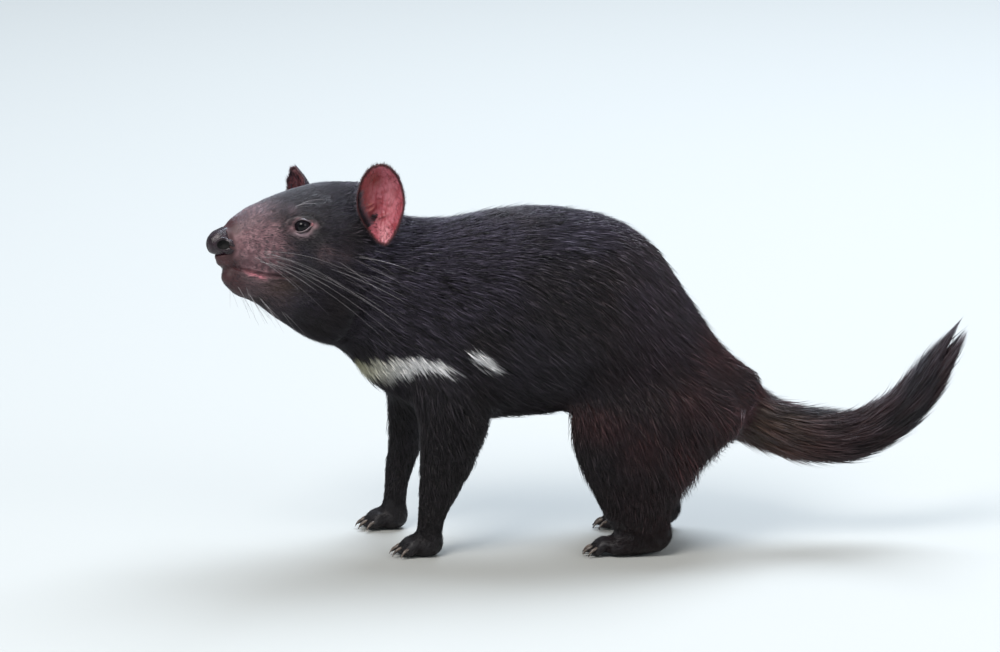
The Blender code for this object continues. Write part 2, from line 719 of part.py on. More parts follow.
TAIL = [  # x, y, z, reach of the coat, share of it that is flesh
    (0.215, 0.000, 0.1400, 0.0325, 0.90),
    (0.238, 0.000, 0.1300, 0.0310, 0.84),
    (0.259, 0.001, 0.1170, 0.0295, 0.66),
    (0.281, 0.002, 0.1095, 0.0300, 0.52),
    (0.306, 0.004, 0.1040, 0.0305, 0.50),
    (0.335, 0.006, 0.1035, 0.0282, 0.50),
    (0.361, 0.007, 0.1105, 0.0260, 0.48),
    (0.388, 0.009, 0.1290, 0.0238, 0.45),
    (0.406, 0.010, 0.1490, 0.0222, 0.42),
    (0.420, 0.011, 0.1710, 0.0192, 0.34),
]
LOCK_LENGTH = (0.048, 0.060)   # at the root of the tail and at its end
LOCK_WIDE = 0.0200
LOCK_THICKNESS = 0.24     # against its width
LOCK_RINGS = 11
LOCKS_ROUND = 7
TIP_TAPER = 0.34          # how fast the coat closes beyond the tail's end


def tail_place(distance, path, lengths):
    """Centre, side, up, core and reach at a distance along the tail, or beyond its end."""
    frames = list(frames_along([(*row[:3], row[3], row[4]) for row in path]))
    if distance >= lengths[-1]:
        centre, tangent, side, up, reach, share = frames[-1]
        beyond = distance - lengths[-1]
        return centre + tangent * beyond, side, up, reach * share, max(0.0, reach - TIP_TAPER * beyond)
    i = max(k for k in range(len(path) - 1) if lengths[k] <= distance)
    t = (distance - lengths[i]) / (lengths[i + 1] - lengths[i])
    centre = frames[i][0].lerp(frames[i + 1][0], t)
    reach, share = (frames[i][k] + (frames[i + 1][k] - frames[i][k]) * t for k in (4, 5))
    return centre, frames[i][2], frames[i][3], reach * share, reach


def tail_locks(group):
    """Locks in rings along the tail that lie back along it and reach past its end."""
    draw = random.Random(7)
    path = smooth_path(TAIL, 4)
    lengths = [0.0]
    for a, b in zip(path, path[1:]):
        lengths.append(lengths[-1] + (Vector(b[:3]) - Vector(a[:3])).length)
    first, last = 0.011, lengths[-1] - 0.006
    lie = ((-0.45, 0.7), (0.35, 1.0), (0.72, 0.95), (0.92, 0.6), (1.0, 0.0))
    locks = []
    for ring in range(LOCK_RINGS):
        share = ring / (LOCK_RINGS - 1)
        start = first + (last - first) * share
        count = LOCKS_ROUND if share < 0.8 else LOCKS_ROUND - 1
        for k in range(count):
            angle = 2 * math.pi * (k + 0.5 * (ring % 2)) / count + draw.uniform(-0.12, 0.12)
            long = (LOCK_LENGTH[0] + (LOCK_LENGTH[1] - LOCK_LENGTH[0]) * share) * draw.uniform(0.88, 1.12)
            wide = LOCK_WIDE / 2 * (1 - 0.35 * share) * draw.uniform(0.85, 1.1)
            sway = draw.uniform(-0.14, 0.14)
            rows = []
            for step, (out, width) in enumerate(lie):
                place = step / (len(lie) - 1)
                centre, side, up, core, reach = tail_place(start + long * place, path, lengths)
                turn = angle + sway * place
                outward = side * math.cos(turn) + up * math.sin(turn)
                radius = core + (reach - core) * out if out > 0 else core * (1 + out)
                rows.append((centre + outward * radius, outward, wide * width))
            locks.append(strand("lock", rows, LOCK_THICKNESS, group))
    return locks


def tail(group):
    made = tube("tail", [(x, y, z, reach * share, reach * share) for x, y, z, reach, share in TAIL], group,
                sides=12, steps=2)
    strands = bpy.data.collections.new("tail_strands")
    bpy.context.scene.collection.children.link(strands)
    locks = tail_locks(strands)
    fuse = made.modifiers.new("Fuse", "BOOLEAN")
    fuse.operation = "UNION"
    fuse.operand_type = "COLLECTION"
    fuse.collection = strands
    fuse.solver = "MANIFOLD"
    apply_modifiers(made)
    remove(*locks)
    bpy.data.collections.remove(strands)
    root, outward = TAIL_CUT
    before = half_space("before_tail", root + outward.normalized() * GAP, -outward, group)
    boolean(made, before, "DIFFERENCE", "MANIFOLD")
    remove(before)
    return finish(made, "tail_coat")


def place_head(group, neck):
    """Sets the head's pieces on the neck, and cuts the neck back to the head's rear face."""
    skull, jaw, pad, (place, outward) = head(group)
    pieces = {"head": (skull, "coat_black"), "lower_jaw": (jaw, "coat_black"),
              "nose_pad": (pad, "nose_leather")}
    outer_head = grown(skull, GAP)
    for name in EARS:
        made = ear(name, group)
        boolean(made, outer_head, "DIFFERENCE", "MANIFOLD")
        pieces[name] = (made, "ear_skin")
    remove(outer_head)
    for name, side in (("eye_left", -1), ("eye_right", 1)):
        pieces[name] = (eye(name, side, group), "eye_dark")
    matrix = head_matrix()
    for made, material_name in pieces.values():
        made.data.transform(matrix)
        finish(made, material_name)
    turn = matrix.to_3x3()
    front = half_space("before_neck", matrix @ (place + outward * GAP), turn @ -outward, group)
    boolean(neck, front, "DIFFERENCE")
    remove(front)
    for name in EARS:
        wide_ear = grown(pieces[name][0], GAP)
        boolean(neck, wide_ear, "DIFFERENCE")
        remove(wide_ear)
    finish(neck, "coat_black")


def centre_on_floor(group):
    """Puts the origin under the middle of the animal, at the floor."""
    corners = [Vector(vertex.co) for thing in group.objects for vertex in thing.data.vertices]
    middle = [(min(c[k] for c in corners) + max(c[k] for c in corners)) / 2 for k in (0, 1)]
    for thing in group.objects:
        thing.data.transform(Matrix.Translation((-middle[0], -middle[1], 0)))


def main():
    clear_scene()
    devil = collection("tasmanian_devil")
    neck = body(devil)
    place_head(devil, neck)
    paws(devil)
    tail(devil)
    centre_on_floor(devil)


main()
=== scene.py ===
"""A Tasmanian devil in its coat: skin, eyes, nose, ears, claws, fur in mesh tufts, and whiskers.

Lengths are in metres. Places on the head are given from the tip of the nose: back along the head, to
the animal's right, and up. Places on the body are given from a point on the floor between the elbows.
"""

import json
import math

import bpy
import numpy as np
from mathutils import Matrix, Vector
from mathutils.bvhtree import BVHTree

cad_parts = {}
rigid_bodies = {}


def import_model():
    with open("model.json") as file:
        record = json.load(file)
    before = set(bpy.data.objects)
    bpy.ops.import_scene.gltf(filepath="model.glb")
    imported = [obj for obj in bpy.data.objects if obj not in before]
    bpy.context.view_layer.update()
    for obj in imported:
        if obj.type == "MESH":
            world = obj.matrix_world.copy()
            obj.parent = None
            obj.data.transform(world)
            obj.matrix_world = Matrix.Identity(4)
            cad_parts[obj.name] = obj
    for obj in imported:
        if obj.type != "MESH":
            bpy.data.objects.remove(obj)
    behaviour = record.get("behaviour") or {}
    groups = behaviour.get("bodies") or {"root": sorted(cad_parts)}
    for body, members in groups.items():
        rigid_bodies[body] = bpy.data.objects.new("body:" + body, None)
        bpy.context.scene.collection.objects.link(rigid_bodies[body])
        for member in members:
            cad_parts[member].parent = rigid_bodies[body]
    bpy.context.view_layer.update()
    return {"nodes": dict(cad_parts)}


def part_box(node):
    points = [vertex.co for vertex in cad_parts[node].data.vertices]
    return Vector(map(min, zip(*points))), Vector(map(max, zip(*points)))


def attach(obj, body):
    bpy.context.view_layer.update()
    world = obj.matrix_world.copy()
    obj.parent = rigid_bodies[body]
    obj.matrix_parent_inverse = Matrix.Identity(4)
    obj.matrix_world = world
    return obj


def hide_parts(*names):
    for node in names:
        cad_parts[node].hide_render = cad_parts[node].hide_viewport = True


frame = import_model()


# Skin. One closed hide over trunk, neck, head, legs, paws and the core of the tail. It is dark under the
# coat and grey-pink on the muzzle, and lies below the coat's surface by the depth of the coat.

FLESH = ["torso", "neck", "head", "lower_jaw", "front_leg_left", "front_leg_right", "front_paw_left",
         "front_paw_right", "hind_leg_left", "hind_leg_right", "hind_foot_left", "hind_foot_right"]
SKIN_VOXEL = 0.0016
SKIN_SWELL = 0.0004      # closes the thin cuts between the solids
SKIN_KEPT = 0.24         # share of the faces on the body that are kept
BODY_SOFTENING, HEAD_SOFTENING, NAPE_SOFTENING, NAPE_EVENING = 45, 9, 240, 14
HEAD_TURN, HEAD_ROLL = math.radians(28), math.radians(-6)
EYE_FROM_NOSE = Vector((0.0858, 0.0, 0.0080))
NOSE_FROM_ELBOWS = Vector((-0.2756, -0.0830, 0.3155))
MOUTH = [(-0.020, -0.0250), (0.013, -0.0255), (0.020, -0.0260), (0.032, -0.0298), (0.050, -0.0355),
         (0.074, -0.0395)]
EAR_ROOTS = {-1: (0.1545, 0.0600, 0.0250, 30, 4, 6), 1: (0.1210, 0.0560, 0.0190, 92, -22, 0)}
BEHIND_EAR = (-0.002, 0.0285, -0.012)
EAR_SEATS = {-1: (0.1700, -0.0230, 0.0060), 1: (0.1480, 0.0370, -0.0020)}
TAIL_CORE = [  # back, right, up, radius
    (0.190, 0.000, 0.1560, 0.0260), (0.215, 0.000, 0.1400, 0.0225), (0.238, 0.000, 0.1290, 0.0190),
    (0.259, 0.001, 0.1170, 0.0165), (0.281, 0.002, 0.1095, 0.0145), (0.306, 0.004, 0.1040, 0.0135),
    (0.335, 0.006, 0.1035, 0.0125), (0.361, 0.007, 0.1105, 0.0110), (0.388, 0.009, 0.1290, 0.0090),
    (0.406, 0.010, 0.1490, 0.0070), (0.418, 0.011, 0.1680, 0.0045)]

HEAD_AXES = Matrix.Rotation(HEAD_TURN, 3, "Z") @ Matrix.Rotation(HEAD_ROLL, 3, "X")
eye_corners = [corner for name in ("eye_left", "eye_right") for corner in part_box(name)]
NOSE = sum(eye_corners, Vector()) / 4 - HEAD_AXES @ EYE_FROM_NOSE
ELBOWS = NOSE - NOSE_FROM_ELBOWS
ELBOWS.z = 0.0


def on_head(place, side=1):
    """A place on the head in the model's frame; side is -1 for the animal's left."""
    return NOSE + HEAD_AXES @ Vector((place[0], place[1] * side, place[2]))


def on_body(place):
    return ELBOWS + Vector(place[:3])


def from_nose(points):
    """Points of the model as places on the head."""
    return (points - np.array(NOSE)) @ np.array(HEAD_AXES)


def pick(*things):
    """Selects these objects alone, the first of them active."""
    bpy.ops.object.select_all(action="DESELECT")
    for thing in things:
        thing.select_set(True)
    bpy.context.view_layer.objects.active = things[0]


def shown(name, mesh):
    """A new object in the scene."""
    made = bpy.data.objects.new(name, mesh)
    bpy.context.scene.collection.objects.link(made)
    return made


def rows_of(things, field, width, kind=float):
    """One field of all vertices, edges, corners or triangles of a mesh, a row for each."""
    found = np.empty(len(things) * width, kind)
    things.foreach_get(field, found)
    return found.reshape(-1, width)


def points_of(mesh):
    return rows_of(mesh.vertices, "co", 3)


def normals_of(mesh):
    return rows_of(mesh.vertices, "normal", 3)


def move_points(mesh, points):
    mesh.vertices.foreach_set("co", np.ascontiguousarray(points, np.float32).ravel())
    mesh.update()


def modified(thing, kind, **settings):
    """Adds one modifier with its settings and applies it."""
    pick(thing)
    step = thing.modifiers.new(kind.title(), kind)
    for name, value in settings.items():
        setattr(step, name, value)
    bpy.ops.object.modifier_apply(modifier=step.name)


def weigh(thing, name, weights):
    """A vertex group from one weight for each vertex, in steps of a twentieth."""
    group = thing.vertex_groups.new(name=name)
    steps = np.round(np.clip(weights, 0, 1) * 20).astype(int)
    for step in range(1, 21):
        group.add(np.nonzero(steps == step)[0].tolist(), step / 20, "REPLACE")
    return name


def ramp(value, low, high):
    """A smooth rise from 0 at low to 1 at high."""
    t = np.clip((value - low) / (high - low), 0, 1)
    return t * t * (3 - 2 * t)


def bell(*values):
    """1 in the middle and falling to 0 all round; each value is a distance over a reach."""
    return np.exp(-sum(value ** 2 for value in values))


def read_off(table, at, column=1):
    """A column of a table, read off at places along its first column."""
    return np.interp(at, [row[0] for row in table], [row[column] for row in table])


def mouth_height(x):
    return read_off(MOUTH, x)


def ear_turn(side):
    """How an ear's own axes, along its width, into its bowl and up, lie on the head."""
    *_, forward, back, out = EAR_ROOTS[side]
    turn = Matrix.Rotation(math.radians(-forward), 3, "Z") @ Matrix.Rotation(
        math.radians(back), 3, "Y") @ Matrix.Rotation(math.radians(out), 3, "X")
    return turn if side < 0 else Matrix.Diagonal((1, -1, 1)) @ turn


# Combing marks: place, lie of the hair, its length and the depth of the coat, both in millimetres.
# Those on the head are measured from the nose, and all but the front legs' are mirrored.
HEAD_MARKS = [
    (0.035, 0.000, 0.018, 1, 0, 0.35, 4.0, 0.7), (0.045, 0.026, -0.008, 1, 0.3, -0.1, 4.5, 0.7),
    (0.030, 0.018, -0.024, 1, 0.2, -0.5, 3.5, 0.5), (0.070, 0.035, -0.034, 1, 0.1, -0.5, 6, 1.2),
    (0.085, 0.040, -0.012, 1, 0.2, -0.25, 6, 1.1), (0.075, 0.012, 0.035, 1, 0, 0.5, 7, 1.4),
    (0.092, 0.030, 0.028, 1, 0.1, 0.3, 7, 1.4), (0.125, 0.012, 0.047, 1, 0, 0.1, 9, 2.4),
    (0.115, 0.046, 0.015, 1, 0.2, 0.1, 9, 2.0), (0.115, 0.050, -0.022, 1, 0.1, -0.35, 11, 2.6),
    (0.110, 0.045, -0.055, 1, 0.05, -0.45, 13, 3.0), (0.028, 0.008, -0.046, 1, 0, -0.4, 4, 0.7),
    (0.050, 0.000, -0.062, 1, 0, -0.6, 7, 1.4), (0.060, 0.028, -0.050, 1, 0.1, -0.35, 7, 1.2),
    (0.110, 0.000, -0.100, 1, 0, -0.5, 13, 3.6), (0.165, 0.020, 0.040, 1, 0, -0.15, 13, 3.6),
    (0.180, 0.050, 0.000, 1, 0, -0.3, 15, 4.2),
]
BODY_MARKS = [
    (-0.090, 0.010, 0.325, 1, 0, -0.08, 20, 5.5), (-0.100, 0.060, 0.250, 1, 0, -0.40, 20, 6.0),
    (-0.135, 0.030, 0.180, 0.75, 0, -0.65, 20, 5.5), (-0.115, 0.020, 0.130, 0.25, 0, -1, 19, 5.0),
    (-0.055, 0.075, 0.210, 0.85, 0, -0.55, 20, 6.0), (-0.030, 0.040, 0.310, 1, 0, -0.20, 21, 6.5),
    (0.000, 0.020, 0.330, 1, 0, -0.05, 21, 6.5), (0.060, 0.020, 0.325, 1, 0, -0.30, 22, 6.5),
    (0.130, 0.020, 0.270, 0.62, 0, -0.78, 23, 7.0), (0.030, 0.080, 0.230, 0.80, 0, -0.60, 22, 6.5),
    (0.000, 0.070, 0.170, 0.85, 0, -0.50, 22, 6.0), (0.000, 0.030, 0.120, 1, 0, -0.10, 18, 5.0),
    (0.060, 0.020, 0.125, 1, 0, 0.00, 18, 5.0), (0.120, 0.085, 0.180, 0.55, 0, -0.85, 22, 6.5),
    (0.130, 0.083, 0.130, 0.38, 0, -0.92, 21, 6.0), (0.075, 0.070, 0.120, 0.42, 0, -0.90, 20, 5.0),
    (0.190, 0.060, 0.125, 0.35, 0, -0.95, 25, 6.5), (0.200, 0.010, 0.175, 0.85, 0, -0.50, 25, 6.5),
    (0.215, 0.035, 0.140, 0.90, 0, -0.40, 27, 6.5), (0.200, 0.000, 0.110, 0.90, 0, -0.30, 23, 6.0),
    (0.125, 0.065, 0.070, 0.25, 0, -0.97, 14, 4.0), (0.140, 0.060, 0.040, 0, 0, -1, 9, 2.4),
    (0.105, 0.050, 0.020, -1, 0, -0.25, 6, 1.1), (0.132, 0.040, 0.060, 0.05, 0, -1, 12, 3.0),
]
FRONT_LEG_MARKS = [
    (-0.045, -0.075, 0.150, 0.35, 0, -0.95, 17, 4.6), (-0.058, -0.066, 0.080, 0.10, 0, -1, 11, 2.6),
    (-0.066, -0.058, 0.045, -0.10, 0, -1, 7, 1.6), (-0.088, -0.050, 0.018, -1, 0, -0.35, 4.5, 0.9),
    (-0.083, 0.072, 0.130, 0.10, 0, -1, 15, 4.2), (-0.095, 0.064, 0.075, -0.10, 0, -1, 10, 2.4),
    (-0.101, 0.058, 0.045, -0.10, 0, -1, 7, 1.6), (-0.122, 0.050, 0.018, -1, 0, -0.35, 4.5, 0.9),
]
places, values = [], []
for side in (-1, 1):
    for x, y, z, *lie, length, depth in HEAD_MARKS:
        places.append(on_head((x, y, z), side))
        values.append((*(HEAD_AXES @ Vector((lie[0], lie[1] * side, lie[2])).normalized()), length, depth))
    for x, y, z, *lie, length, depth in BODY_MARKS:
        places.append(on_body((x, y * side, z)))
        values.append((*Vector(lie).normalized(), length, depth))
for x, y, z, *lie, length, depth in FRONT_LEG_MARKS:
    places.append(on_body((x, y, z)))
    values.append((*Vector(lie).normalized(), length, depth))
MARK_PLACES, MARK_VALUES = np.array(places), np.array(values)
MARK_VALUES[:, 3:] *= 0.001


def combed(points):
    """The lie, the length and the depth of the coat at each point, from the marks near it."""
    made = []
    for part in np.array_split(points, len(points) // 40000 + 1):
        apart = ((part[:, None, :] - MARK_PLACES[None]) ** 2).sum(2)
        near = 1 / (apart + 1e-6) ** 2.5
        made.append((near / near.sum(1, keepdims=True)) @ MARK_VALUES)
    made = np.concatenate(made)
    return made[:, :3], made[:, 3], made[:, 4]


bpy.ops.object.select_all(action="DESELECT")
copies = []
for name in FLESH + ["nose_pad"]:
    copies.append(shown(name + "_copy", frame["nodes"][name].data.copy()))
for side, (x, y, z, *_) in EAR_ROOTS.items():
    behind = Vector((x, y * side, z)) + ear_turn(side) @ Vector(BEHIND_EAR)
    within = Vector(EAR_SEATS[side])
    for t in (0, 0.25, 0.5, 0.75, 1):
        bpy.ops.mesh.primitive_uv_sphere_add(segments=32, ring_count=16, radius=0.0125 + 0.0045 * t)
        copies.append(bpy.context.object)
        copies[-1].data.transform(Matrix.Translation(NOSE + HEAD_AXES @ behind.lerp(within, t)))
for step in range(len(TAIL_CORE) * 4 - 3):
    at = step / 4
    low = min(int(at), len(TAIL_CORE) - 2)
    x, y, z, radius = ((1 - at + low) * a + (at - low) * b
                       for a, b in zip(TAIL_CORE[low], TAIL_CORE[low + 1]))
    bpy.ops.mesh.primitive_uv_sphere_add(segments=24, ring_count=12, radius=radius,
                                         location=on_body((x, y, z)))
    bpy.ops.object.transform_apply()
    copies.append(bpy.context.object)
pick(*copies)
bpy.ops.object.join()
skin = bpy.context.object
skin.name = skin.data.name = "skin"
bpy.ops.object.mode_set(mode="EDIT")
bpy.ops.mesh.select_all(action="SELECT")
bpy.ops.mesh.remove_doubles(threshold=0.00001)
bpy.ops.object.mode_set(mode="OBJECT")
move_points(skin.data, points_of(skin.data) + SKIN_SWELL * normals_of(skin.data))
modified(skin, "REMESH", mode="VOXEL", voxel_size=SKIN_VOXEL)

skin_points = points_of(skin.data)
bpy.ops.object.mode_set(mode="EDIT")
bpy.ops.mesh.select_all(action="DESELECT")
bpy.ops.object.mode_set(mode="OBJECT")
skin.data.vertices[int(skin_points[:, 2].argmax())].select = True
bpy.ops.object.mode_set(mode="EDIT")
bpy.ops.mesh.select_mode(type="VERT")
bpy.ops.mesh.select_linked()
bpy.ops.mesh.select_all(action="INVERT")
bpy.ops.mesh.delete(type="VERT")
bpy.ops.object.mode_set(mode="OBJECT")


def body_share(points):
    """1 on the body, falling to 0 on the face and the paws, where forms are small."""
    back = from_nose(points)
    return np.minimum(ramp(back[:, 0], 0.12, 0.19), ramp(points[:, 2], 0.045, 0.075))


def fill_creases(mesh, share, rounds):
    """Softens hollows by lifting them outwards; what is raised already stays as it is."""
    lines = rows_of(mesh.edges, "vertices", 2, np.int64)
    lines = lines[(share[lines] > 0.01).all(1)]
    inside = np.unique(lines)
    number = np.zeros(len(share), np.int64)
    number[inside] = np.arange(len(inside))
    a, b = number[lines].T
    ends = np.maximum(np.bincount(a, minlength=len(inside)) + np.bincount(b, minlength=len(inside)), 1)
    points = points_of(mesh)
    for step in range(rounds):
        if step % 20 == 0:
            normals = normals_of(mesh)[inside]
        near = points[inside]
        mean = np.stack([np.bincount(a, near[b, k], len(inside)) + np.bincount(b, near[a, k], len(inside))
                         for k in range(3)], 1) / ends[:, None]
        lift = np.maximum(((mean - near) * normals).sum(1), 0) * share[inside] * 0.7
        points[inside] = near + normals * lift[:, None]
        if step % 20 == 19:
            move_points(mesh, points)
    move_points(mesh, points)


weigh(skin, "body", body_share(points_of(skin.data)))
modified(skin, "SMOOTH", factor=0.5, iterations=BODY_SOFTENING, vertex_group="body")
modified(skin, "SMOOTH", factor=0.5, iterations=HEAD_SOFTENING)
skin_points = points_of(skin.data)
_, _, depth = combed(skin_points)
in_tail = ramp(skin_points[:, 0] - ELBOWS.x, 0.205, 0.250)
skin_points -= normals_of(skin.data) * (depth * (1 - in_tail))[:, None]
move_points(skin.data, skin_points)
modified(skin, "DECIMATE", ratio=SKIN_KEPT, vertex_group="body", vertex_group_factor=1.0,
         use_collapse_triangulate=True)
back = from_nose(points_of(skin.data))
nape = ramp(back[:, 0], 0.105, 0.130) * (1 - ramp(back[:, 0], 0.235, 0.275))
nape *= ramp(back[:, 1], -0.045, -0.020)
fill_creases(skin.data, nape, NAPE_SOFTENING)
weigh(skin, "nape", nape)
modified(skin, "SMOOTH", factor=0.5, iterations=NAPE_EVENING, vertex_group="nape")

# The face is cut finer and worked over: the line of the mouth with its lips, hollows for the eyeballs,
# the fold under each eye, and small folds on the muzzle.
EYE_BALL = (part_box("eye_left")[1].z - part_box("eye_left")[0].z) / 2
EYE_OPEN = (0.0088, 0.0058)      # half width and half height between the lids
EYE_SUNK = 0.0022                # how far the skin lies behind the ball's surface
EYE_LOOK = (math.radians(32), math.radians(8))
EYE_SPOTS = {}
for side, name in ((-1, "eye_left"), (1, "eye_right")):
    low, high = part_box(name)
    spot = (low + high) / 2
    look = Matrix.Rotation(-EYE_LOOK[0], 3, "Z") @ Matrix.Rotation(-EYE_LOOK[1], 3, "X")
    if side > 0:
        look = Matrix.Diagonal((1, -1, 1)) @ look
    EYE_SPOTS[side] = (spot, HEAD_AXES @ look)   # its axes: along the lids, into the head, and up


def by_eye(points, side):
    """Points in an eye's own axes."""
    spot, axes = EYE_SPOTS[side]
    return (points - np.array(spot)) @ np.array(axes)


def past_lids(near):
    """How far points in an eye's axes lie from the middle of its opening, whose edge is at 1."""
    return np.sqrt((near[:, 0] / EYE_OPEN[0]) ** 2 + (near[:, 2] / EYE_OPEN[1]) ** 2)


back = from_nose(points_of(skin.data))
from_mouth = np.abs(back[:, 2] - mouth_height(back[:, 0]))
fine = (back[:, 0] < 0.060) | ((back[:, 0] < 0.080) & (from_mouth < 0.012))
for side in (-1, 1):
    fine |= np.linalg.norm(by_eye(points_of(skin.data), side), axis=1) < 0.021
skin.data.vertices.foreach_set("select", fine)
bpy.ops.object.mode_set(mode="EDIT")
bpy.ops.mesh.select_mode(type="VERT")
bpy.ops.mesh.select_mode(type="FACE")
bpy.ops.mesh.subdivide(number_cuts=1)
bpy.ops.object.mode_set(mode="OBJECT")

points, normals = points_of(skin.data), normals_of(skin.data)
back = from_nose(points)
x, y, z = back.T
away = z - mouth_height(x)
along_mouth = 1 - ramp(x, MOUTH[-1][0] - 0.004, MOUTH[-1][0] + 0.006)
push = -0.0021 * bell(away / 0.0008) * along_mouth * ramp(x, 0.018, 0.034)
push += 0.0024 * bell(away / 0.0022) * (1 - ramp(x, 0.018, 0.030))
push += 0.0010 * bell((away - 0.0030) / 0.0018) * along_mouth
push += 0.0007 * bell((away + 0.0030) / 0.0018) * along_mouth
folds = np.sin(900 * x + 260 * z + 2.0 * np.sin(300 * z))
push += 0.00022 * folds * bell((x - 0.052) / 0.016, (z + 0.020) / 0.012)
push += 0.0010 * bell((x - 0.0260) / 0.0070) * ramp(z, -0.018, -0.008)
points += normals * push[:, None]
lip_front = bell((z + 0.0165) / 0.0048, y / 0.012) * (1 - ramp(x, 0.014, 0.028))
under_pad = ramp(z, -0.0150, -0.0125) * (1 - ramp(x, 0.0165, 0.0200)) * np.maximum(0.0170 - x, 0)
points += np.array(HEAD_AXES)[:, 0] * (under_pad - 0.0030 * lip_front)[:, None]
for side in (-1, 1):
    near = by_eye(points, side)
    over = past_lids(near)
    close = (near[:, 1] < 0.001) & (np.linalg.norm(near, axis=1) < 0.020)
    crease = -0.0005 * bell((over - 2.0) / 0.20) * (near[:, 2] > 0)
    crease += 0.0004 * bell((over - 1.5) / 0.30)
    points[close] += normals[close] * crease[close, None]
    sunk = close & (over < 1.08)
    near = by_eye(points, side)
    reach = np.linalg.norm(near, axis=1)
    near[sunk] *= ((EYE_BALL - EYE_SUNK) / reach[sunk])[:, None]
    spot, axes = EYE_SPOTS[side]
    points[sunk] = near[sunk] @ np.array(axes).T + np.array(spot)
move_points(skin.data, points)
skin.data.shade_smooth()

# Marks that skin and coat share, each a number from 0 to 1 for any place on the animal.
CHEST_BAND = [(-0.150, 0.176, 0.008), (-0.119, 0.180, 0.0105), (-0.090, 0.187, 0.0090),
              (-0.070, 0.190, 0.0072), (-0.052, 0.188, 0.0042), (-0.038, 0.185, 0.0010)]
BROWN_PATCHES = [  # back, up, reach back and up, share
    (0.214, 0.195, 0.034, 0.036, 0.85), (0.096, 0.132, 0.036, 0.018, 0.60),
    (0.136, 0.114, 0.026, 0.030, 0.50), (0.182, 0.156, 0.030, 0.026, 0.55),
    (0.178, 0.094, 0.022, 0.036, 0.65), (0.240, 0.130, 0.050, 0.040, 0.70)]
BARE_SPOTS = [  # on the head: back, up, reach
    (0.104, -0.020, 0.0085), (0.118, -0.022, 0.0085), (0.078, 0.024, 0.0050)]
EYE_PATCHES = [  # bare skin in an eye's axes: along, up, reach along and up, share
    (-0.0115, -0.0030, 0.0050, 0.0050, 0.75), (0.0115, 0.0000, 0.0035, 0.0030, 0.80),
    (-0.0020, -0.0080, 0.0080, 0.0034, 0.50), (-0.0040, 0.0070, 0.0035, 0.0016, 0.50)]
SHOULDER_PATCH = ((-0.0150, 0.1955), (0.84, -0.54), 0.0160, 0.0064)   # middle, lie, half length and width


def marks_at(points, chance=0.5):
    """The white band and patch, the red-brown hindquarters, a painted tawny sheen on the jaw, and where hair
    is thin.
    """
    x, y, z = (points - np.array(ELBOWS)).T
    hx, _, hz = from_nose(points).T
    wander = 0.0022 * np.sin(310 * x + 4 * np.sin(170 * z)) + 0.0026 * (chance - 0.5)
    from_middle = np.abs(z - read_off(CHEST_BAND, x) + wander)
    white = 1 - ramp(from_middle - read_off(CHEST_BAND, x, 2), -0.0016, 0.0016)
    white = white * (x < CHEST_BAND[-1][0])
    (px, pz), (lx, lz), long, wide = SHOULDER_PATCH
    along, across = (x - px) * lx + (z - pz) * lz, (x - px) * -lz + (z - pz) * lx
    patch = np.sqrt((along / long) ** 2 + ((across + wander) / wide) ** 2)
    white = np.maximum(white, (1 - ramp(patch, 0.75, 1.15)) * (y < 0))
    brown = 0.18 * ramp(x, 0.060, 0.160)
    for bx, bz, wide, high, most in BROWN_PATCHES:
        brown = np.maximum(brown, most * bell((x - bx) / wide, (z - bz) / high))
    # A painted sheen: a tawny patch on the lower jaw stands in for light gleaming on its fur.
    tawny = 0.75 * bell((hx - 0.062) / 0.020, (hz + 0.048) / 0.010)
    bare = (1 - ramp(hx, 0.052, 0.084)) * (1 - 0.50 * ramp(hz, 0.004, 0.019))
    bare *= 1 - 0.75 * ramp(mouth_height(hx) - hz, -0.006, 0.010)
    leather = (1 - ramp(hx, 0.022, 0.036)) * (0.35 + 0.65 * ramp(np.abs(hz + 0.006), 0.006, 0.016))
    leather = np.maximum(leather, 1 - ramp(hx, 0.019, 0.027))
    pale = np.zeros(len(x))
    for sx, sz, reach in BARE_SPOTS:
        bare = np.maximum(bare, 0.55 * bell((hx - sx) / reach, (hz - sz) / reach))
    for side in (-1, 1):
        reach = np.linalg.norm(points - np.array(EYE_SPOTS[side][0]), axis=1)
        bare = np.maximum(bare, 0.40 * (1 - ramp(reach, 0.0100, 0.0140)) * (hz < 0.014))
        near = by_eye(points, side)
        for ex, ez, wide, high, most in EYE_PATCHES:
            patch = most * bell((near[:, 0] - ex) / wide, (near[:, 2] - ez) / high)
            bare = np.maximum(bare, patch * (reach < 0.024))
        rim = bell((near[:, 0] + 0.001) / 0.0080, (near[:, 2] + 0.0080) / 0.0028)
        pale = np.maximum(pale, 0.65 * rim * (reach < 0.018))
    lips = bell((hz - mouth_height(hx) + 0.0026) / 0.0024) * (1 - ramp(hx, 0.044, 0.054))
    lips *= ramp(hx, 0.030, 0.038)
    return {"white": white, "brown": brown, "bare": np.clip(bare, 0, 1), "lips": lips, "leather": leather,
            "pale": pale, "tawny": tawny}


def note(mesh, name, values):
    """Keeps one number for each vertex, which the materials read."""
    layer = mesh.attributes.new(name, "FLOAT", "POINT")
    layer.data.foreach_set("value", np.ascontiguousarray(values, np.float32))


for name, values in marks_at(points).items():
    note(skin.data, name, values)


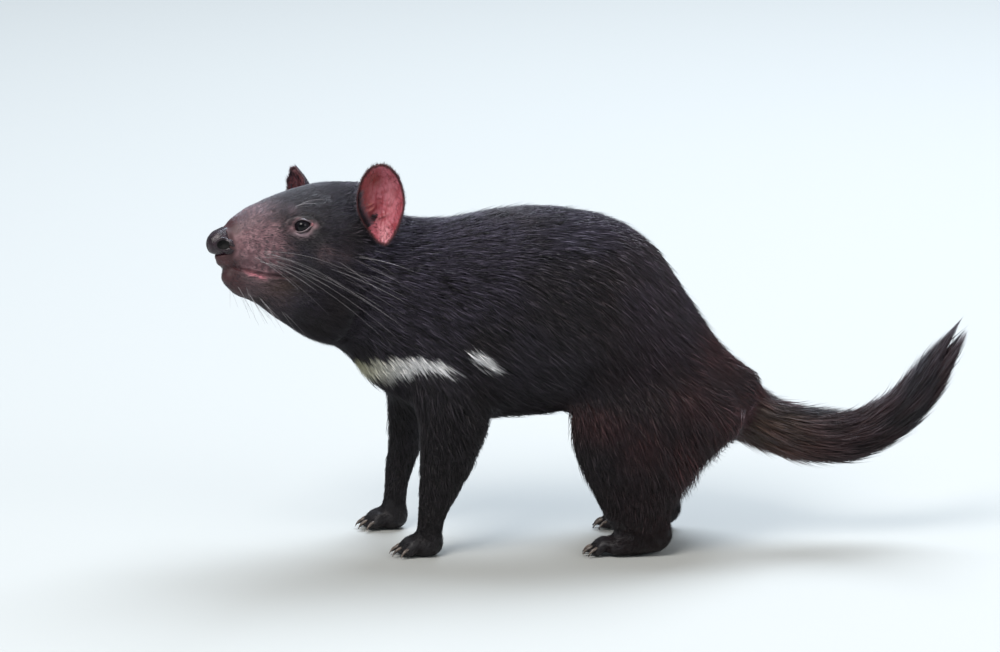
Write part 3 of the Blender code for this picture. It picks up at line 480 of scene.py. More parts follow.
class Shade:
    """A socket of a material's nodes that takes part in sums as a number would."""

    def __init__(self, tree, socket):
        self.tree, self.socket = tree, socket

    def node(self, kind, settings=None, out=0, **inputs):
        made = self.tree.nodes.new(kind)
        for name, value in (settings or {}).items():
            setattr(made, name, value)
        for key, value in inputs.items():
            entry = made.inputs[int(key[1:])] if key[1:].isdigit() else made.inputs[key]
            if isinstance(value, Shade):
                self.tree.links.new(value.socket, entry)
            else:
                entry.default_value = value
        return Shade(self.tree, made.outputs[out])

    def sum(self, operation, *values):
        return self.node("ShaderNodeMath", {"operation": operation},
                         **{f"_{i}": value for i, value in enumerate(values)})

    def __add__(self, other): return self.sum("ADD", self, other)
    def __radd__(self, other): return self.sum("ADD", other, self)
    def __sub__(self, other): return self.sum("SUBTRACT", self, other)
    def __rsub__(self, other): return self.sum("SUBTRACT", other, self)
    def __mul__(self, other): return self.sum("MULTIPLY", self, other)
    def __rmul__(self, other): return self.sum("MULTIPLY", other, self)

    def rise(self, low, high):
        return self.node("ShaderNodeMapRange", {"interpolation_type": "SMOOTHSTEP"}, _0=self, _1=low, _2=high)

    def mix(self, under, over):
        """Two colours, with this number as the share of the second."""
        colours = {"_6": under, "_7": over}
        colours = {k: v if isinstance(v, Shade) else (*v, 1) for k, v in colours.items()}
        return self.node("ShaderNodeMix", {"data_type": "RGBA"}, out=2, _0=self, **colours)

    def attribute(self, name):
        return self.node("ShaderNodeAttribute", {"attribute_name": name}, out=2)

    def noise(self, scale, detail=2.0, stretch=(1, 1, 1)):
        place = self.node("ShaderNodeTexCoord", out=3)
        place = self.node("ShaderNodeVectorMath", {"operation": "MULTIPLY"}, _0=place, _1=stretch)
        return self.node("ShaderNodeTexNoise", _0=place, Scale=scale, Detail=detail)

    def bump(self, height, strength, distance):
        return self.node("ShaderNodeBump", Strength=strength, Distance=distance, Height=height)


def finish_named(name, **constants):
    """A new Principled material: its constant values, and a Shade to build the rest from."""
    made = bpy.data.materials.new(name)
    made.use_nodes = True
    shader = made.node_tree.nodes["Principled BSDF"]
    for key, value in constants.items():
        shader.inputs[key.replace("_", " ")].default_value = value
    return made, shader, Shade(made.node_tree, None)


def feed(shader, **values):
    for key, value in values.items():
        value.tree.links.new(value.socket, shader.inputs[key.replace("_", " ")])


hide, shader, s = finish_named("bare_hide", Roughness=0.5, Specular_IOR_Level=0.45)
blotch, pores = s.noise(160, 3), s.noise(1500, 2)
bare_colour = blotch.rise(0.35, 0.68).mix((0.150, 0.070, 0.082), (0.300, 0.165, 0.180))
colour = s.attribute("bare").mix((0.012, 0.010, 0.012), bare_colour)
colour = s.attribute("leather").mix(colour, (0.043, 0.012, 0.014))
colour = (s.attribute("pale") * (0.5 + blotch)).mix(colour, (0.36, 0.27, 0.30))
colour = (s.attribute("lips") * blotch.rise(0.36, 0.54)).mix(colour, (0.42, 0.15, 0.18))
colour = s.attribute("white").mix(colour, (0.30, 0.26, 0.23))
feed(shader, Base_Color=colour, Normal=s.bump(pores + blotch * 0.6, 0.35, 0.0006))


def painted(thing, material):
    thing.data.materials.clear()
    thing.data.materials.append(material)


def unwrapped(thing):
    """Turns a closed piece's faces outwards and unwraps them."""
    pick(thing)
    bpy.ops.object.mode_set(mode="EDIT")
    bpy.ops.mesh.select_all(action="SELECT")
    bpy.ops.mesh.normals_make_consistent(inside=False)
    bpy.ops.uv.smart_project(angle_limit=math.radians(66), island_margin=0.002)
    bpy.ops.object.mode_set(mode="OBJECT")
    thing.data.uv_layers[0].name = "OFBake"


painted(skin, hide)
unwrapped(skin)
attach(skin, "root")
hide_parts(*FLESH)


# Coat. Coarse black hair over the whole hide, built as thin closed tufts that bend along the lie of the
# coat: long with a painted bluish sheen on the back, red-brown on the rump, short on the face and paws.

LOWEST_HAIR = 0.0004     # above the floor, and as deep as a root sits in the hide
TUFT_DEPTH = 0.45        # a tuft's depth, as a share of its width
PATCH = 0.003            # a tuft's size on the unwrap
rng = np.random.default_rng(3)
hide_mesh = skin.data
hide_mesh.calc_loop_triangles()
triangle_points = rows_of(hide_mesh.loop_triangles, "vertices", 3, np.int32)
triangle_loops = rows_of(hide_mesh.loop_triangles, "loops", 3, np.int32)
hide_points, hide_normals = points_of(hide_mesh), normals_of(hide_mesh)
hide_uv = rows_of(hide_mesh.uv_layers["OFBake"].data, "uv", 2)
hide_tree = BVHTree.FromPolygons(hide_points.tolist(), triangle_points.tolist())


def unit(vectors):
    return vectors / np.maximum(np.linalg.norm(vectors, axis=1, keepdims=True), 1e-9)


def flat_to(vectors, normals):
    """The part of each vector that lies in the surface, at length 1."""
    return unit(vectors - normals * (vectors * normals).sum(1, keepdims=True))


def onto_hide(points):
    """The nearest places on the hide, and the smooth outward direction there."""
    found = [hide_tree.find_nearest(Vector(p)) for p in points]
    places = np.array([row[0] for row in found])
    corners = triangle_points[[row[2] for row in found]]
    return places, unit(hide_normals[corners].mean(1))


def roots(count, share):
    """Random places on the hide, as many as asked for, thicker where the share is larger."""
    corners = hide_points[triangle_points]
    area = np.linalg.norm(np.cross(corners[:, 1] - corners[:, 0], corners[:, 2] - corners[:, 0]), axis=1)
    chosen = rng.choice(len(area), count, p=area * share / (area * share).sum())
    a, b = rng.random((2, count))
    a, b = np.where(a + b > 1, 1 - a, a), np.where(a + b > 1, 1 - b, b)
    shares = np.stack([1 - a - b, a, b], 1)[:, :, None]
    place = (hide_points[triangle_points[chosen]] * shares).sum(1)
    normal = unit((hide_normals[triangle_points[chosen]] * shares).sum(1))
    return place, normal, (hide_uv[triangle_loops[chosen]] * shares).sum(1)


def tuft_piece(name, stations, sides, ups, widths, uv, marks):
    """One mesh of closed tufts: rings of three corners at each station, and a point at the last."""
    count, rings = len(stations[0]), len(stations) - 1
    corners = []
    for place, side, up, width in zip(stations[:-1], sides, ups, widths):
        half = side * width[:, None] / 2
        corners += [place + half, place - half, place + up * (width * TUFT_DEPTH)[:, None]]
    corners.append(stations[-1])
    size = len(corners)
    corners = np.stack(corners, 1).reshape(-1, 3)
    faces = [(2, 1, 0)]
    for k in range(rings - 1):
        for j in range(3):
            a, b = 3 * k + j, 3 * k + (j + 1) % 3
            faces += [(a, b, b + 3), (a, b + 3, a + 3)]
    faces += [(3 * rings - 3 + j, 3 * rings - 3 + (j + 1) % 3, 3 * rings) for j in range(3)]
    faces = np.array(faces)
    a, b, c = (corners[faces[:, k]] for k in range(3))
    if (a * np.cross(b, c)).sum() < 0:   # inside out
        faces = faces[:, ::-1]
    every = (faces[None] + size * np.arange(count)[:, None, None]).reshape(-1)
    mesh = bpy.data.meshes.new(name)
    mesh.vertices.add(len(corners))
    mesh.vertices.foreach_set("co", corners.astype(np.float32).ravel())
    mesh.loops.add(len(every))
    mesh.loops.foreach_set("vertex_index", every.astype(np.int32))
    mesh.polygons.add(len(every) // 3)
    mesh.polygons.foreach_set("loop_start", np.arange(0, len(every), 3, dtype=np.int32))
    mesh.update(calc_edges=True)
    mesh.polygons.foreach_set("use_smooth", np.ones(len(every) // 3, bool))
    spread = np.array([((k % 3) / 2 - 0.5, (k // 3) / rings - 0.5) for k in range(size)]) * PATCH
    patch = (np.clip(uv, 0.002, 0.998)[:, None] + spread[None]).reshape(-1, 2)[every]
    mesh.uv_layers.new(name="OFBake").data.foreach_set("uv", patch.astype(np.float32).ravel())
    note(mesh, "along", np.tile([k // 3 / rings for k in range(size)], count))
    for key, value in marks.items():
        note(mesh, key, np.repeat(value, size))
    mesh.materials.append(fur)
    piece = shown(name, mesh)
    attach(piece, "root")
    return piece


def grown_coat(count, share, bends, width, spread):
    """Tufts from random roots: they leave the hide, bend along its lie and end at the coat's depth."""
    place, normal, uv = roots(count, share)
    x, y, z = place.T
    lie, length, depth = combed(place)
    chance = rng.random(count)
    lie = flat_to(lie, normal)
    lock = 0.5 * np.sin(190 * x + 3 * np.sin(140 * z) + 2 * np.sin(230 * y))
    lock += 0.5 * np.sin(420 * z - 260 * x + 3 * np.sin(330 * y))
    turn = spread * lock + rng.normal(0, spread * 0.55, count)
    lie = flat_to(lie + np.cross(normal, lie) * turn[:, None], normal)
    shag = bell((x - ELBOWS.x - 0.170) / 0.035, (z - 0.100) / 0.045)
    stray = rng.random(count) < 0.07 + 0.22 * shag
    length = length * (0.70 + 0.55 * chance) * np.where(stray, 1.30 + 0.35 * shag, 1.0)
    height = depth * (0.45 + 0.60 * rng.random(count)) * np.where(stray, 1.45 + 1.2 * shag, 1.0)
    stations, sides, ups = [place - normal * LOWEST_HAIR], [np.cross(normal, lie)], [normal]
    at, up, heading = place, normal, lie
    for k in range(1, bends + 1):
        at, up = onto_hide(at + heading * (length / bends)[:, None])
        if k < bends:
            more, *_ = combed(at)
            heading = flat_to(0.75 * heading + 0.25 * more, up)
        rise = 1 - (1 - k / bends) ** 1.6
        stations.append(at + up * (height * rise)[:, None])
        stations[-1][:, 2] = np.maximum(stations[-1][:, 2], LOWEST_HAIR)
        sides.append(np.cross(up, heading))
        ups.append(up)
    taper = [width * (1 - 0.28 * k / bends) for k in range(bends)]
    wide = 0.75 + 0.5 * rng.random(count)
    marks = marks_at(place + lie * (0.5 * length)[:, None], chance)
    marks["chance"] = chance
    return stations, sides, ups, [wide * t for t in taper], uv, marks


def in_parts(name, grown, parts, order):
    """The tufts as several pieces, in the order of a number for each root."""
    stations, sides, ups, widths, uv, marks = grown
    for k, rows in enumerate(np.array_split(np.argsort(order), parts)):
        piece = tuft_piece(f"{name}_{k + 1}", [a[rows] for a in stations], [a[rows] for a in sides],
                           [a[rows] for a in ups], [a[rows] for a in widths], uv[rows],
                           {key: value[rows] for key, value in marks.items()})


fur, shader, s = finish_named("black_fur", Specular_IOR_Level=0.38)
along, chance, brown = s.attribute("along"), s.attribute("chance"), s.attribute("brown")
place = s.node("ShaderNodeTexCoord", out=3)
height = s.node("ShaderNodeSeparateXYZ", out=2, _0=place)
backward = s.node("ShaderNodeSeparateXYZ", _0=place)
# Painted sheen: large patches of brownish and bluish grey stand in for the sky's light gleaming on the coat.
sheen_and_shade = s.noise(11, 2).rise(0.38, 0.62).mix((0.050, 0.038, 0.042), (0.080, 0.066, 0.104))
# Painted shade: that sheen gives way to near black low down, so the belly is darker and the back lighter.
sheen_and_shade = height.rise(0.10, 0.33).mix((0.012, 0.008, 0.008), sheen_and_shade)
colour = chance.rise(0.1, 1.0).mix((0.0030, 0.0025, 0.0028), sheen_and_shade)
colour = (brown * (0.30 + 0.70 * chance)).mix(colour, (0.115, 0.032, 0.031))
thin = chance.mix((0.070, 0.045, 0.052), (0.300, 0.235, 0.250))
colour = (s.attribute("bare") * 0.75).mix(colour, thin)
# Painted tawny sheen on the lower jaw and on the tail's base.
colour = s.attribute("tawny").mix(colour, (0.100, 0.062, 0.040))
# Painted highlight: the tips of some hairs are painted light bluish grey, as if they caught the light.
colour = (along * along * chance * 0.55).mix(colour, (0.120, 0.106, 0.130))
# The band's white is darker and creamier towards the front: partly a cream tint, partly painted shade.
pale = backward.rise(-0.235, -0.165).mix(chance.mix((0.35, 0.33, 0.18), (0.52, 0.49, 0.31)),
                                         chance.mix((0.92, 0.90, 0.89), (1.0, 0.99, 1.0)))
colour = s.attribute("white").mix(colour, pale)
feed(shader, Base_Color=colour, Roughness=0.34 + chance * 0.22)

triangle_middles = hide_points[triangle_points].mean(1)
hx, _, hz = from_nose(triangle_middles).T
above_floor = triangle_middles[:, 2]
long_coat = np.minimum(ramp(hx, 0.118, 0.150), ramp(above_floor, 0.030, 0.050))
long_coat *= 1 - ramp(triangle_middles[:, 0] - ELBOWS.x, 0.225, 0.250)
short = 1 - np.minimum(ramp(hx, 0.120, 0.160), ramp(above_floor, 0.028, 0.052))
short *= 1 - (1 - ramp(hx, 0.021, 0.028)) * ramp(hz, -0.022, -0.015)
for side in (-1, 1):
    near = by_eye(triangle_middles, side)
    clear = ramp(past_lids(near), 1.35, 1.9)
    clear *= 1 - 0.85 * bell(near[:, 0] / 0.008, (near[:, 2] + 0.0085) / 0.003)
    short *= np.where(np.linalg.norm(near, axis=1) < 0.020, clear, 1)
short *= 1 - 0.95 * bell((hz - mouth_height(hx)) / 0.0016) * (hx < 0.075)
short *= 0.75 + 0.25 * ramp(hx, 0.03, 0.09)
short[above_floor < 0.0035] = 0   # the soles are bare
for name, count, share, bends, width, spread, parts, axis in (
        ("coat_under", 126000, long_coat, 1, 0.00095, 0.13, 3, 0),
        ("coat_over", 44000, long_coat, 2, 0.00100, 0.17, 3, 0),
        ("coat_face_and_paws", 92000, short, 1, 0.00034, 0.10, 2, 2)):
    grown = grown_coat(count, share + 1e-9, bends, width, spread)
    in_parts(name, grown, parts, grown[0][0][:, axis])


# Tail coat. Long coarse hair, black to red-brown, that lies back along the tail in loose locks and closes
# to a point beyond the tail's end.

TAIL_HAIRS, TAIL_BENDS = 11500, 3
CORE_PAST, COAT_PAST = 0.012, 0.062      # how far the core and the coat reach past the last place
TAIL_REACH = [(0.215, 0.0325), (0.238, 0.0310), (0.259, 0.0295), (0.281, 0.0300), (0.306, 0.0305),
              (0.335, 0.0282), (0.361, 0.0260), (0.388, 0.0238), (0.406, 0.0222), (0.418, 0.0195)]
steps = np.linspace(0, 1, 61)
line = np.array([on_body(row) for row in TAIL_CORE])
for _ in range(3):   # corners of the line are rounded
    line = np.array([np.interp(steps, np.linspace(0, 1, len(line)), line[:, k]) for k in range(3)]).T
    line[1:-1] = (line[:-2] + 2 * line[1:-1] + line[2:]) / 4
runs = np.concatenate([[0], np.cumsum(np.linalg.norm(np.diff(line, axis=0), axis=1))])
heading_line = unit(np.gradient(line, axis=0))
core_line = read_off(TAIL_CORE, line[:, 0] - ELBOWS.x, 3)
reach_line = read_off(TAIL_REACH, line[:, 0] - ELBOWS.x)


def tail_at(distance, angle, out):
    """Places round the tail: out is 0 on the core and 1 at the coat's reach; it narrows past the end."""
    beyond = np.maximum(distance - runs[-1], 0)
    centre = np.array([np.interp(distance, runs, line[:, k]) for k in range(3)]).T
    ahead = unit(np.array([np.interp(distance, runs, heading_line[:, k]) for k in range(3)]).T)
    centre = centre + ahead * beyond[:, None]
    side = unit(np.cross(ahead, (0, 1, 0)))
    core = np.interp(distance, runs, core_line) * np.maximum(1 - beyond / CORE_PAST, 0)
    reach = np.maximum(np.interp(distance, runs, reach_line) * (1 - beyond / COAT_PAST), 0.0006)
    centre = centre + side * (0.07 * beyond * np.where(np.sin(angle) > 0.1, 1, -1.2))[:, None]
    outward = side * np.sin(angle)[:, None] + np.cross(side, ahead) * np.cos(angle)[:, None]
    radius = core + (reach - core) * out
    return centre + outward * radius[:, None], outward, ahead


start = 0.012 + (runs[-1] - 0.014) * rng.random(TAIL_HAIRS) ** 0.9
angle = rng.random(TAIL_HAIRS) * 2 * math.pi
chance = rng.random(TAIL_HAIRS)
share = start / runs[-1]
long = (0.034 + 0.026 * share) * (0.75 + 0.5 * chance)
long = np.minimum(long, runs[-1] - start + 0.022 + 0.040 * rng.random(TAIL_HAIRS)
                  - 0.010 * (np.sin(angle) < 0.1))
lock = np.sin(5 * angle + 90 * start) + np.sin(3 * angle - 140 * start)
sway = 0.10 * lock + rng.normal(0, 0.12, TAIL_HAIRS)
lift = 0.50 + 0.46 * rng.random(TAIL_HAIRS) + 0.06 * lock
lift += 0.25 * (rng.random(TAIL_HAIRS) < 0.08)
stations, sides, ups = [], [], []
for k in range(TAIL_BENDS + 1):
    t = k / TAIL_BENDS
    place, outward, ahead = tail_at(start + long * t, angle + sway * t, lift * t ** 0.62 - 0.04 * (t == 0))
    stations.append(place)
    ups.append(outward)
    sides.append(np.cross(outward, ahead))
corners = [hide_tree.find_nearest(Vector(p))[2] for p in stations[0]]
uv = hide_uv[triangle_loops[corners]].mean(1)
marks = marks_at(stations[0], chance)
base_share = 1 - ramp(start, 0.055, 0.125)
marks["brown"] = np.clip(0.6 + lock * 0.4 + 0.7 * np.sin(40 * start + angle), 0, 1)
marks["brown"] *= 0.36 + 0.64 * base_share
# A painted tawny sheen on the left side of the tail's base.
marks["tawny"] = 0.60 * base_share * ramp(-np.cos(angle - 0.3), -0.3, 0.7)
marks["chance"] = chance * (0.6 + 0.4 * base_share)
widths = [(0.8 + 0.5 * chance) * w for w in (0.00095, 0.00090, 0.00060)]
tail_coat = tuft_piece("coat_tail", stations, sides, ups, widths, uv, marks)
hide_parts("tail")


# Eyes. Wet dark brown balls with a clear bulge in front of a black pupil; only the almond between the
# lids shows.

BULGE_HEIGHT, BULGE_REACH = 0.0006, 0.0042
wet, shader, s = finish_named("wet_eye", Roughness=0.06, Specular_IOR_Level=0.22)
ring = s.attribute("from_pupil")
feed(shader, Base_Color=ring.rise(0.28, 0.36).mix((0.001, 0.001, 0.0015), (0.006, 0.005, 0.007)))
for side, name in ((-1, "eye_left"), (1, "eye_right")):
    spot, axes = EYE_SPOTS[side]
    bpy.ops.mesh.primitive_uv_sphere_add(segments=48, ring_count=32, radius=EYE_BALL)
    ball = bpy.context.object
    ball.name = ball.data.name = name.replace("eye", "eyeball")
    points = points_of(ball.data)
    across = np.hypot(points[:, 0], points[:, 2])
    bulge = np.where(points[:, 1] < 0, BULGE_HEIGHT * np.exp(-(across / BULGE_REACH) ** 4), 0)
    points *= (1 + bulge / EYE_BALL)[:, None]
    note(ball.data, "from_pupil", np.where(points[:, 1] < 0, across / EYE_BALL, 1.0))
    move_points(ball.data, points @ np.array(axes).T + np.array(spot))
    if side > 0:
        ball.data.flip_normals()
    ball.data.shade_smooth()
    ball.data.materials.append(wet)
    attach(ball, "root")
    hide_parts(name)


# Eyelids. A thick soft rim of bare skin round each eye: dark, with a paler wet edge below and pink at
# both corners. Each is one closed ring that lies on the eyeball.

LID_TURNS, LID_ROWS = 72, 12
LID_THICK, LID_GAP = 0.0013, 0.00035     # half its thickness, and its distance from the eyeball


def closed_piece(name, points, faces, material):
    """A smooth closed piece from its corners and faces."""
    mesh = bpy.data.meshes.new(name)
    mesh.from_pydata(points, [], faces)
    piece = shown(name, mesh)
    unwrapped(piece)
    mesh.shade_smooth()
    mesh.materials.append(material)
    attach(piece, "root")
    return piece


lid, shader, s = finish_named("eyelid", Roughness=0.38, Specular_IOR_Level=0.5)
edge, corner = s.attribute("edge"), s.attribute("corner")
colour = s.noise(700, 2).rise(0.3, 0.7).mix((0.030, 0.020, 0.024), (0.070, 0.045, 0.050))
colour = corner.mix(colour, (0.26, 0.10, 0.11))
colour = edge.mix(colour, (0.42, 0.33, 0.35))
feed(shader, Base_Color=colour, Normal=s.bump(s.noise(1400, 2), 0.3, 0.0004))
for side, name in ((-1, "lids_left"), (1, "lids_right")):
    spot, axes = EYE_SPOTS[side]
    turn = np.linspace(0, 2 * math.pi, LID_TURNS, endpoint=False)
    cx, cz = np.cos(turn), np.sin(turn)
    narrow = 1 - 0.42 * np.abs(cx) ** 3
    rows = []
    for k in range(LID_ROWS):
        bend = 2 * math.pi * k / LID_ROWS
        grow = 1.16 + 0.22 * math.cos(bend)          # from the eyeball's edge outwards
        px = EYE_OPEN[0] * cx * (0.98 + 0.60 * (grow - 0.94))
        pz = EYE_OPEN[1] * cz * narrow * grow * np.where(cz > 0, 1.00 - 0.32 * cx, 0.90) + 0.0015 * cx
        reach = np.hypot(px, pz)
        base = np.sqrt(np.maximum((EYE_BALL + LID_GAP) ** 2 - np.minimum(reach, EYE_BALL * 0.98) ** 2, 0))
        thick = LID_THICK * math.sin(bend) * (1.15 - 0.35 * np.abs(cx)) + 0.0002
        py = -(base * (1 if grow < 1.35 else 0.97) + thick)
        rows.append(np.stack([px, py, pz], 1))
    points = np.concatenate(rows) @ np.array(axes).T + np.array(spot)
    faces = [(k * LID_TURNS + j, k * LID_TURNS + (j + 1) % LID_TURNS,
              (k + 1) % LID_ROWS * LID_TURNS + (j + 1) % LID_TURNS, (k + 1) % LID_ROWS * LID_TURNS + j)
             for k in range(LID_ROWS) for j in range(LID_TURNS)]
    lids = closed_piece(name, points.tolist(), faces, lid)
    inner = np.cos(2 * math.pi * np.arange(LID_ROWS) / LID_ROWS) < -0.6
    note(lids.data, "edge", 0.9 * np.outer(inner, ramp(-cz, 0.1, 0.7)).ravel())
    note(lids.data, "corner", np.tile(ramp(np.abs(cx), 0.86, 0.98), LID_ROWS))


# Nose pad. A bare, finely pebbled leather pad with a groove down its front, comma-shaped nostrils that
# open to the sides, and thick wings behind them.

NOSE_ROWS = [  # back, up, half height, half width
    (0.0062, -0.0038, 0.0092, 0.0088), (0.0100, -0.0035, 0.0104, 0.0104),
    (0.0140, -0.0030, 0.0126, 0.0122), (0.0200, 0.0004, 0.0112, 0.0118),
    (0.0250, 0.0020, 0.0086, 0.0096), (0.0300, 0.0034, 0.0050, 0.0065)]
# The wings and the nostrils: middle, reach each way, lean and swing in degrees.
NOSE_WING = ((0.0190, 0.0098, -0.0060), (0.0088, 0.0062, 0.0084), 0, 0)
NOSTRIL = ((0.0112, 0.0120, -0.0038), (0.0044, 0.0062, 0.0044), 14, -35)
NOSTRIL_SLIT = ((0.0180, 0.0164, -0.0066), (0.0074, 0.0036, 0.0015), 24, 0)
NOSE_VOXELS = (0.00055, 0.00050)         # before and after the nostrils are cut
TO_HEAD = Matrix.Translation(NOSE) @ HEAD_AXES.to_4x4()


def turned(lean, swing):
    return Matrix.Rotation(math.radians(swing), 3, "Z") @ Matrix.Rotation(math.radians(lean), 3, "Y")


def ball_at(place, radii, lean=0, swing=0):
    """A sphere drawn out along its axes, turned and set at a place on the head."""
    bpy.ops.mesh.primitive_uv_sphere_add(segments=40, ring_count=24)
    ball = bpy.context.object
    turn = turned(lean, swing).to_4x4()
    ball.data.transform(TO_HEAD @ Matrix.Translation(place) @ turn @ Matrix.Diagonal((*radii, 1)))
    return ball


balls = []
for row, after in zip(NOSE_ROWS, NOSE_ROWS[1:]):
    for t in (0, 0.25, 0.5, 0.75, 1):
        x, z, high, wide = (a + (b - a) * t for a, b in zip(row, after))
        balls.append(ball_at((x, 0, z), (min(high * 0.95, x), wide, high)))
for side in (-1, 1):
    (x, y, z), radii, *_ = NOSE_WING
    balls.append(ball_at((x, y * side, z), radii))
pick(*balls)
bpy.ops.object.join()
pad = bpy.context.object
pad.name = pad.data.name = "nose"
modified(pad, "REMESH", mode="VOXEL", voxel_size=NOSE_VOXELS[0])
modified(pad, "SMOOTH", factor=0.5, iterations=12)
for side in (-1, 1):
    for (x, y, z), radii, lean, swing in (NOSTRIL, NOSTRIL_SLIT):
        hole = ball_at((x, y * side, z), radii, lean, swing * side)
        modified(pad, "BOOLEAN", operation="DIFFERENCE", solver="EXACT", object=hole)
        bpy.data.objects.remove(hole)
modified(pad, "REMESH", mode="VOXEL", voxel_size=NOSE_VOXELS[1])
modified(pad, "SMOOTH", factor=0.5, iterations=4)
points = points_of(pad.data)
x, y, z = from_nose(points).T
groove = -0.0009 * bell(y / 0.0007) * (1 - ramp(z, -0.004, 0.001)) * (x < 0.009)
groove += 0.0006 * bell((np.abs(y) - 0.0045) / 0.0028) * ramp(z, 0.000, 0.006)
# Painted shade: the insides of the nostrils are marked, to be painted near black.
nostril_shade = np.zeros(len(x))
for side in (-1, 1):
    for (px, py, pz), radii, lean, swing in (NOSTRIL, NOSTRIL_SLIT):
        apart = np.stack([x - px, y - py * side, z - pz], 1) @ np.array(turned(lean, swing * side)) / radii
        within = np.linalg.norm(apart, axis=1)
        nostril_shade = np.maximum(nostril_shade, 1 - ramp(within, 0.98, 1.16))
        groove += 0.0005 * bell((within - 1.42) / 0.20) * (radii == NOSTRIL[1])
move_points(pad.data, points + normals_of(pad.data) * groove[:, None])
note(pad.data, "nostril_shade", nostril_shade)
pad.data.shade_smooth()
leather, shader, s = finish_named("nose_leather", Specular_IOR_Level=0.45)
pebbles = s.node("ShaderNodeTexVoronoi", {"feature": "DISTANCE_TO_EDGE"},
                 _0=s.node("ShaderNodeTexCoord", out=3), Scale=1150.0)
colour = s.noise(300, 3).rise(0.35, 0.7).mix((0.010, 0.004, 0.007), (0.024, 0.011, 0.018))
# Painted shade: the nostrils' insides are painted near black.
colour = s.attribute("nostril_shade").mix(colour, (0.001, 0.001, 0.001))
feed(shader, Base_Color=colour, Roughness=0.16 + s.noise(500, 2) * 0.22 + s.attribute("nostril_shade") * 0.5,
     Normal=s.bump(pebbles.rise(0.0, 0.35), 0.26, 0.0004))
painted(pad, leather)
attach(pad, "root")
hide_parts("nose_pad")


# Ears. Thin cups of bare pink skin with folds before the canal, dark and short-haired behind, with a
# fringe of fine hair along the rim.

EAR_HIGH, EAR_WIDE, EAR_DEEP, EAR_THICK = 0.0380, 0.0214, 0.0140, 0.0016
EAR_CELLS, EAR_HAIR_WIDTH = 72, 0.00040
EAR_FOLDS = [  # across, up, along their lie, across it, turned by, height towards the opening
    (-0.50, -0.08, 0.15, 0.042, 8, 0.0032), (-0.48, -0.21, 0.17, 0.042, 16, 0.0034),
    (-0.10, -0.42, 0.34, 0.060, 18, 0.0024), (-0.30, 0.10, 0.36, 0.070, 80, 0.0012),
    (0.12, 0.18, 0.45, 0.060, 74, 0.0010), (0.30, -0.05, 0.45, 0.050, 66, 0.0009),
    (-0.05, -0.70, 0.22, 0.070, 85, 0.0014), (0.16, -0.62, 0.26, 0.050, 75, 0.0010),
    (-0.18, 0.52, 0.26, 0.080, 20, -0.0010), (-0.42, 0.42, 0.24, 0.050, 75, 0.0009)]
ear_skin, shader, s = finish_named("ear_skin", Roughness=0.48, Subsurface_Weight=0.12,
                                   Subsurface_Radius=(0.004, 0.0012, 0.0010))
veins, mottle = s.noise(420, 4, (1, 1, 0.5)), s.noise(130, 3)
colour = (mottle * 0.6 + veins * 0.4).rise(0.38, 0.62).mix((0.29, 0.046, 0.060), (0.46, 0.128, 0.162))
# Painted shade: dark red-brown over the bowl's left side and top hollow, along the crease, and on the far
# ear.
colour = (s.attribute("deep") * (0.7 + mottle * 0.6)).mix(colour, (0.20, 0.028, 0.027))
# Painted light: light pink on the lit right side of the bowl and on its lobe.
colour = (s.attribute("bright") * (0.2 + veins * 1.0)).mix(colour, (0.60, 0.25, 0.28))
# Painted shade: dark lines in the wrinkles and along the crease.
colour = s.attribute("wrinkle").mix(colour, (0.13, 0.020, 0.028))
# Painted light: the raised tops of the folds before the canal are painted paler.
colour = s.attribute("fold").mix(colour, (0.55, 0.24, 0.19))
# Painted shade: the canal's opening is painted dark red.
colour = (s.attribute("canal") * (0.6 + mottle * 0.5)).mix(colour, (0.045, 0.010, 0.010))
colour = s.attribute("rim").mix(colour, (0.110, 0.028, 0.030))
colour = s.attribute("outer").mix(colour, (0.014, 0.010, 0.012))
feed(shader, Base_Color=colour, Normal=s.bump(veins + mottle * 0.5, 0.60, 0.0012))
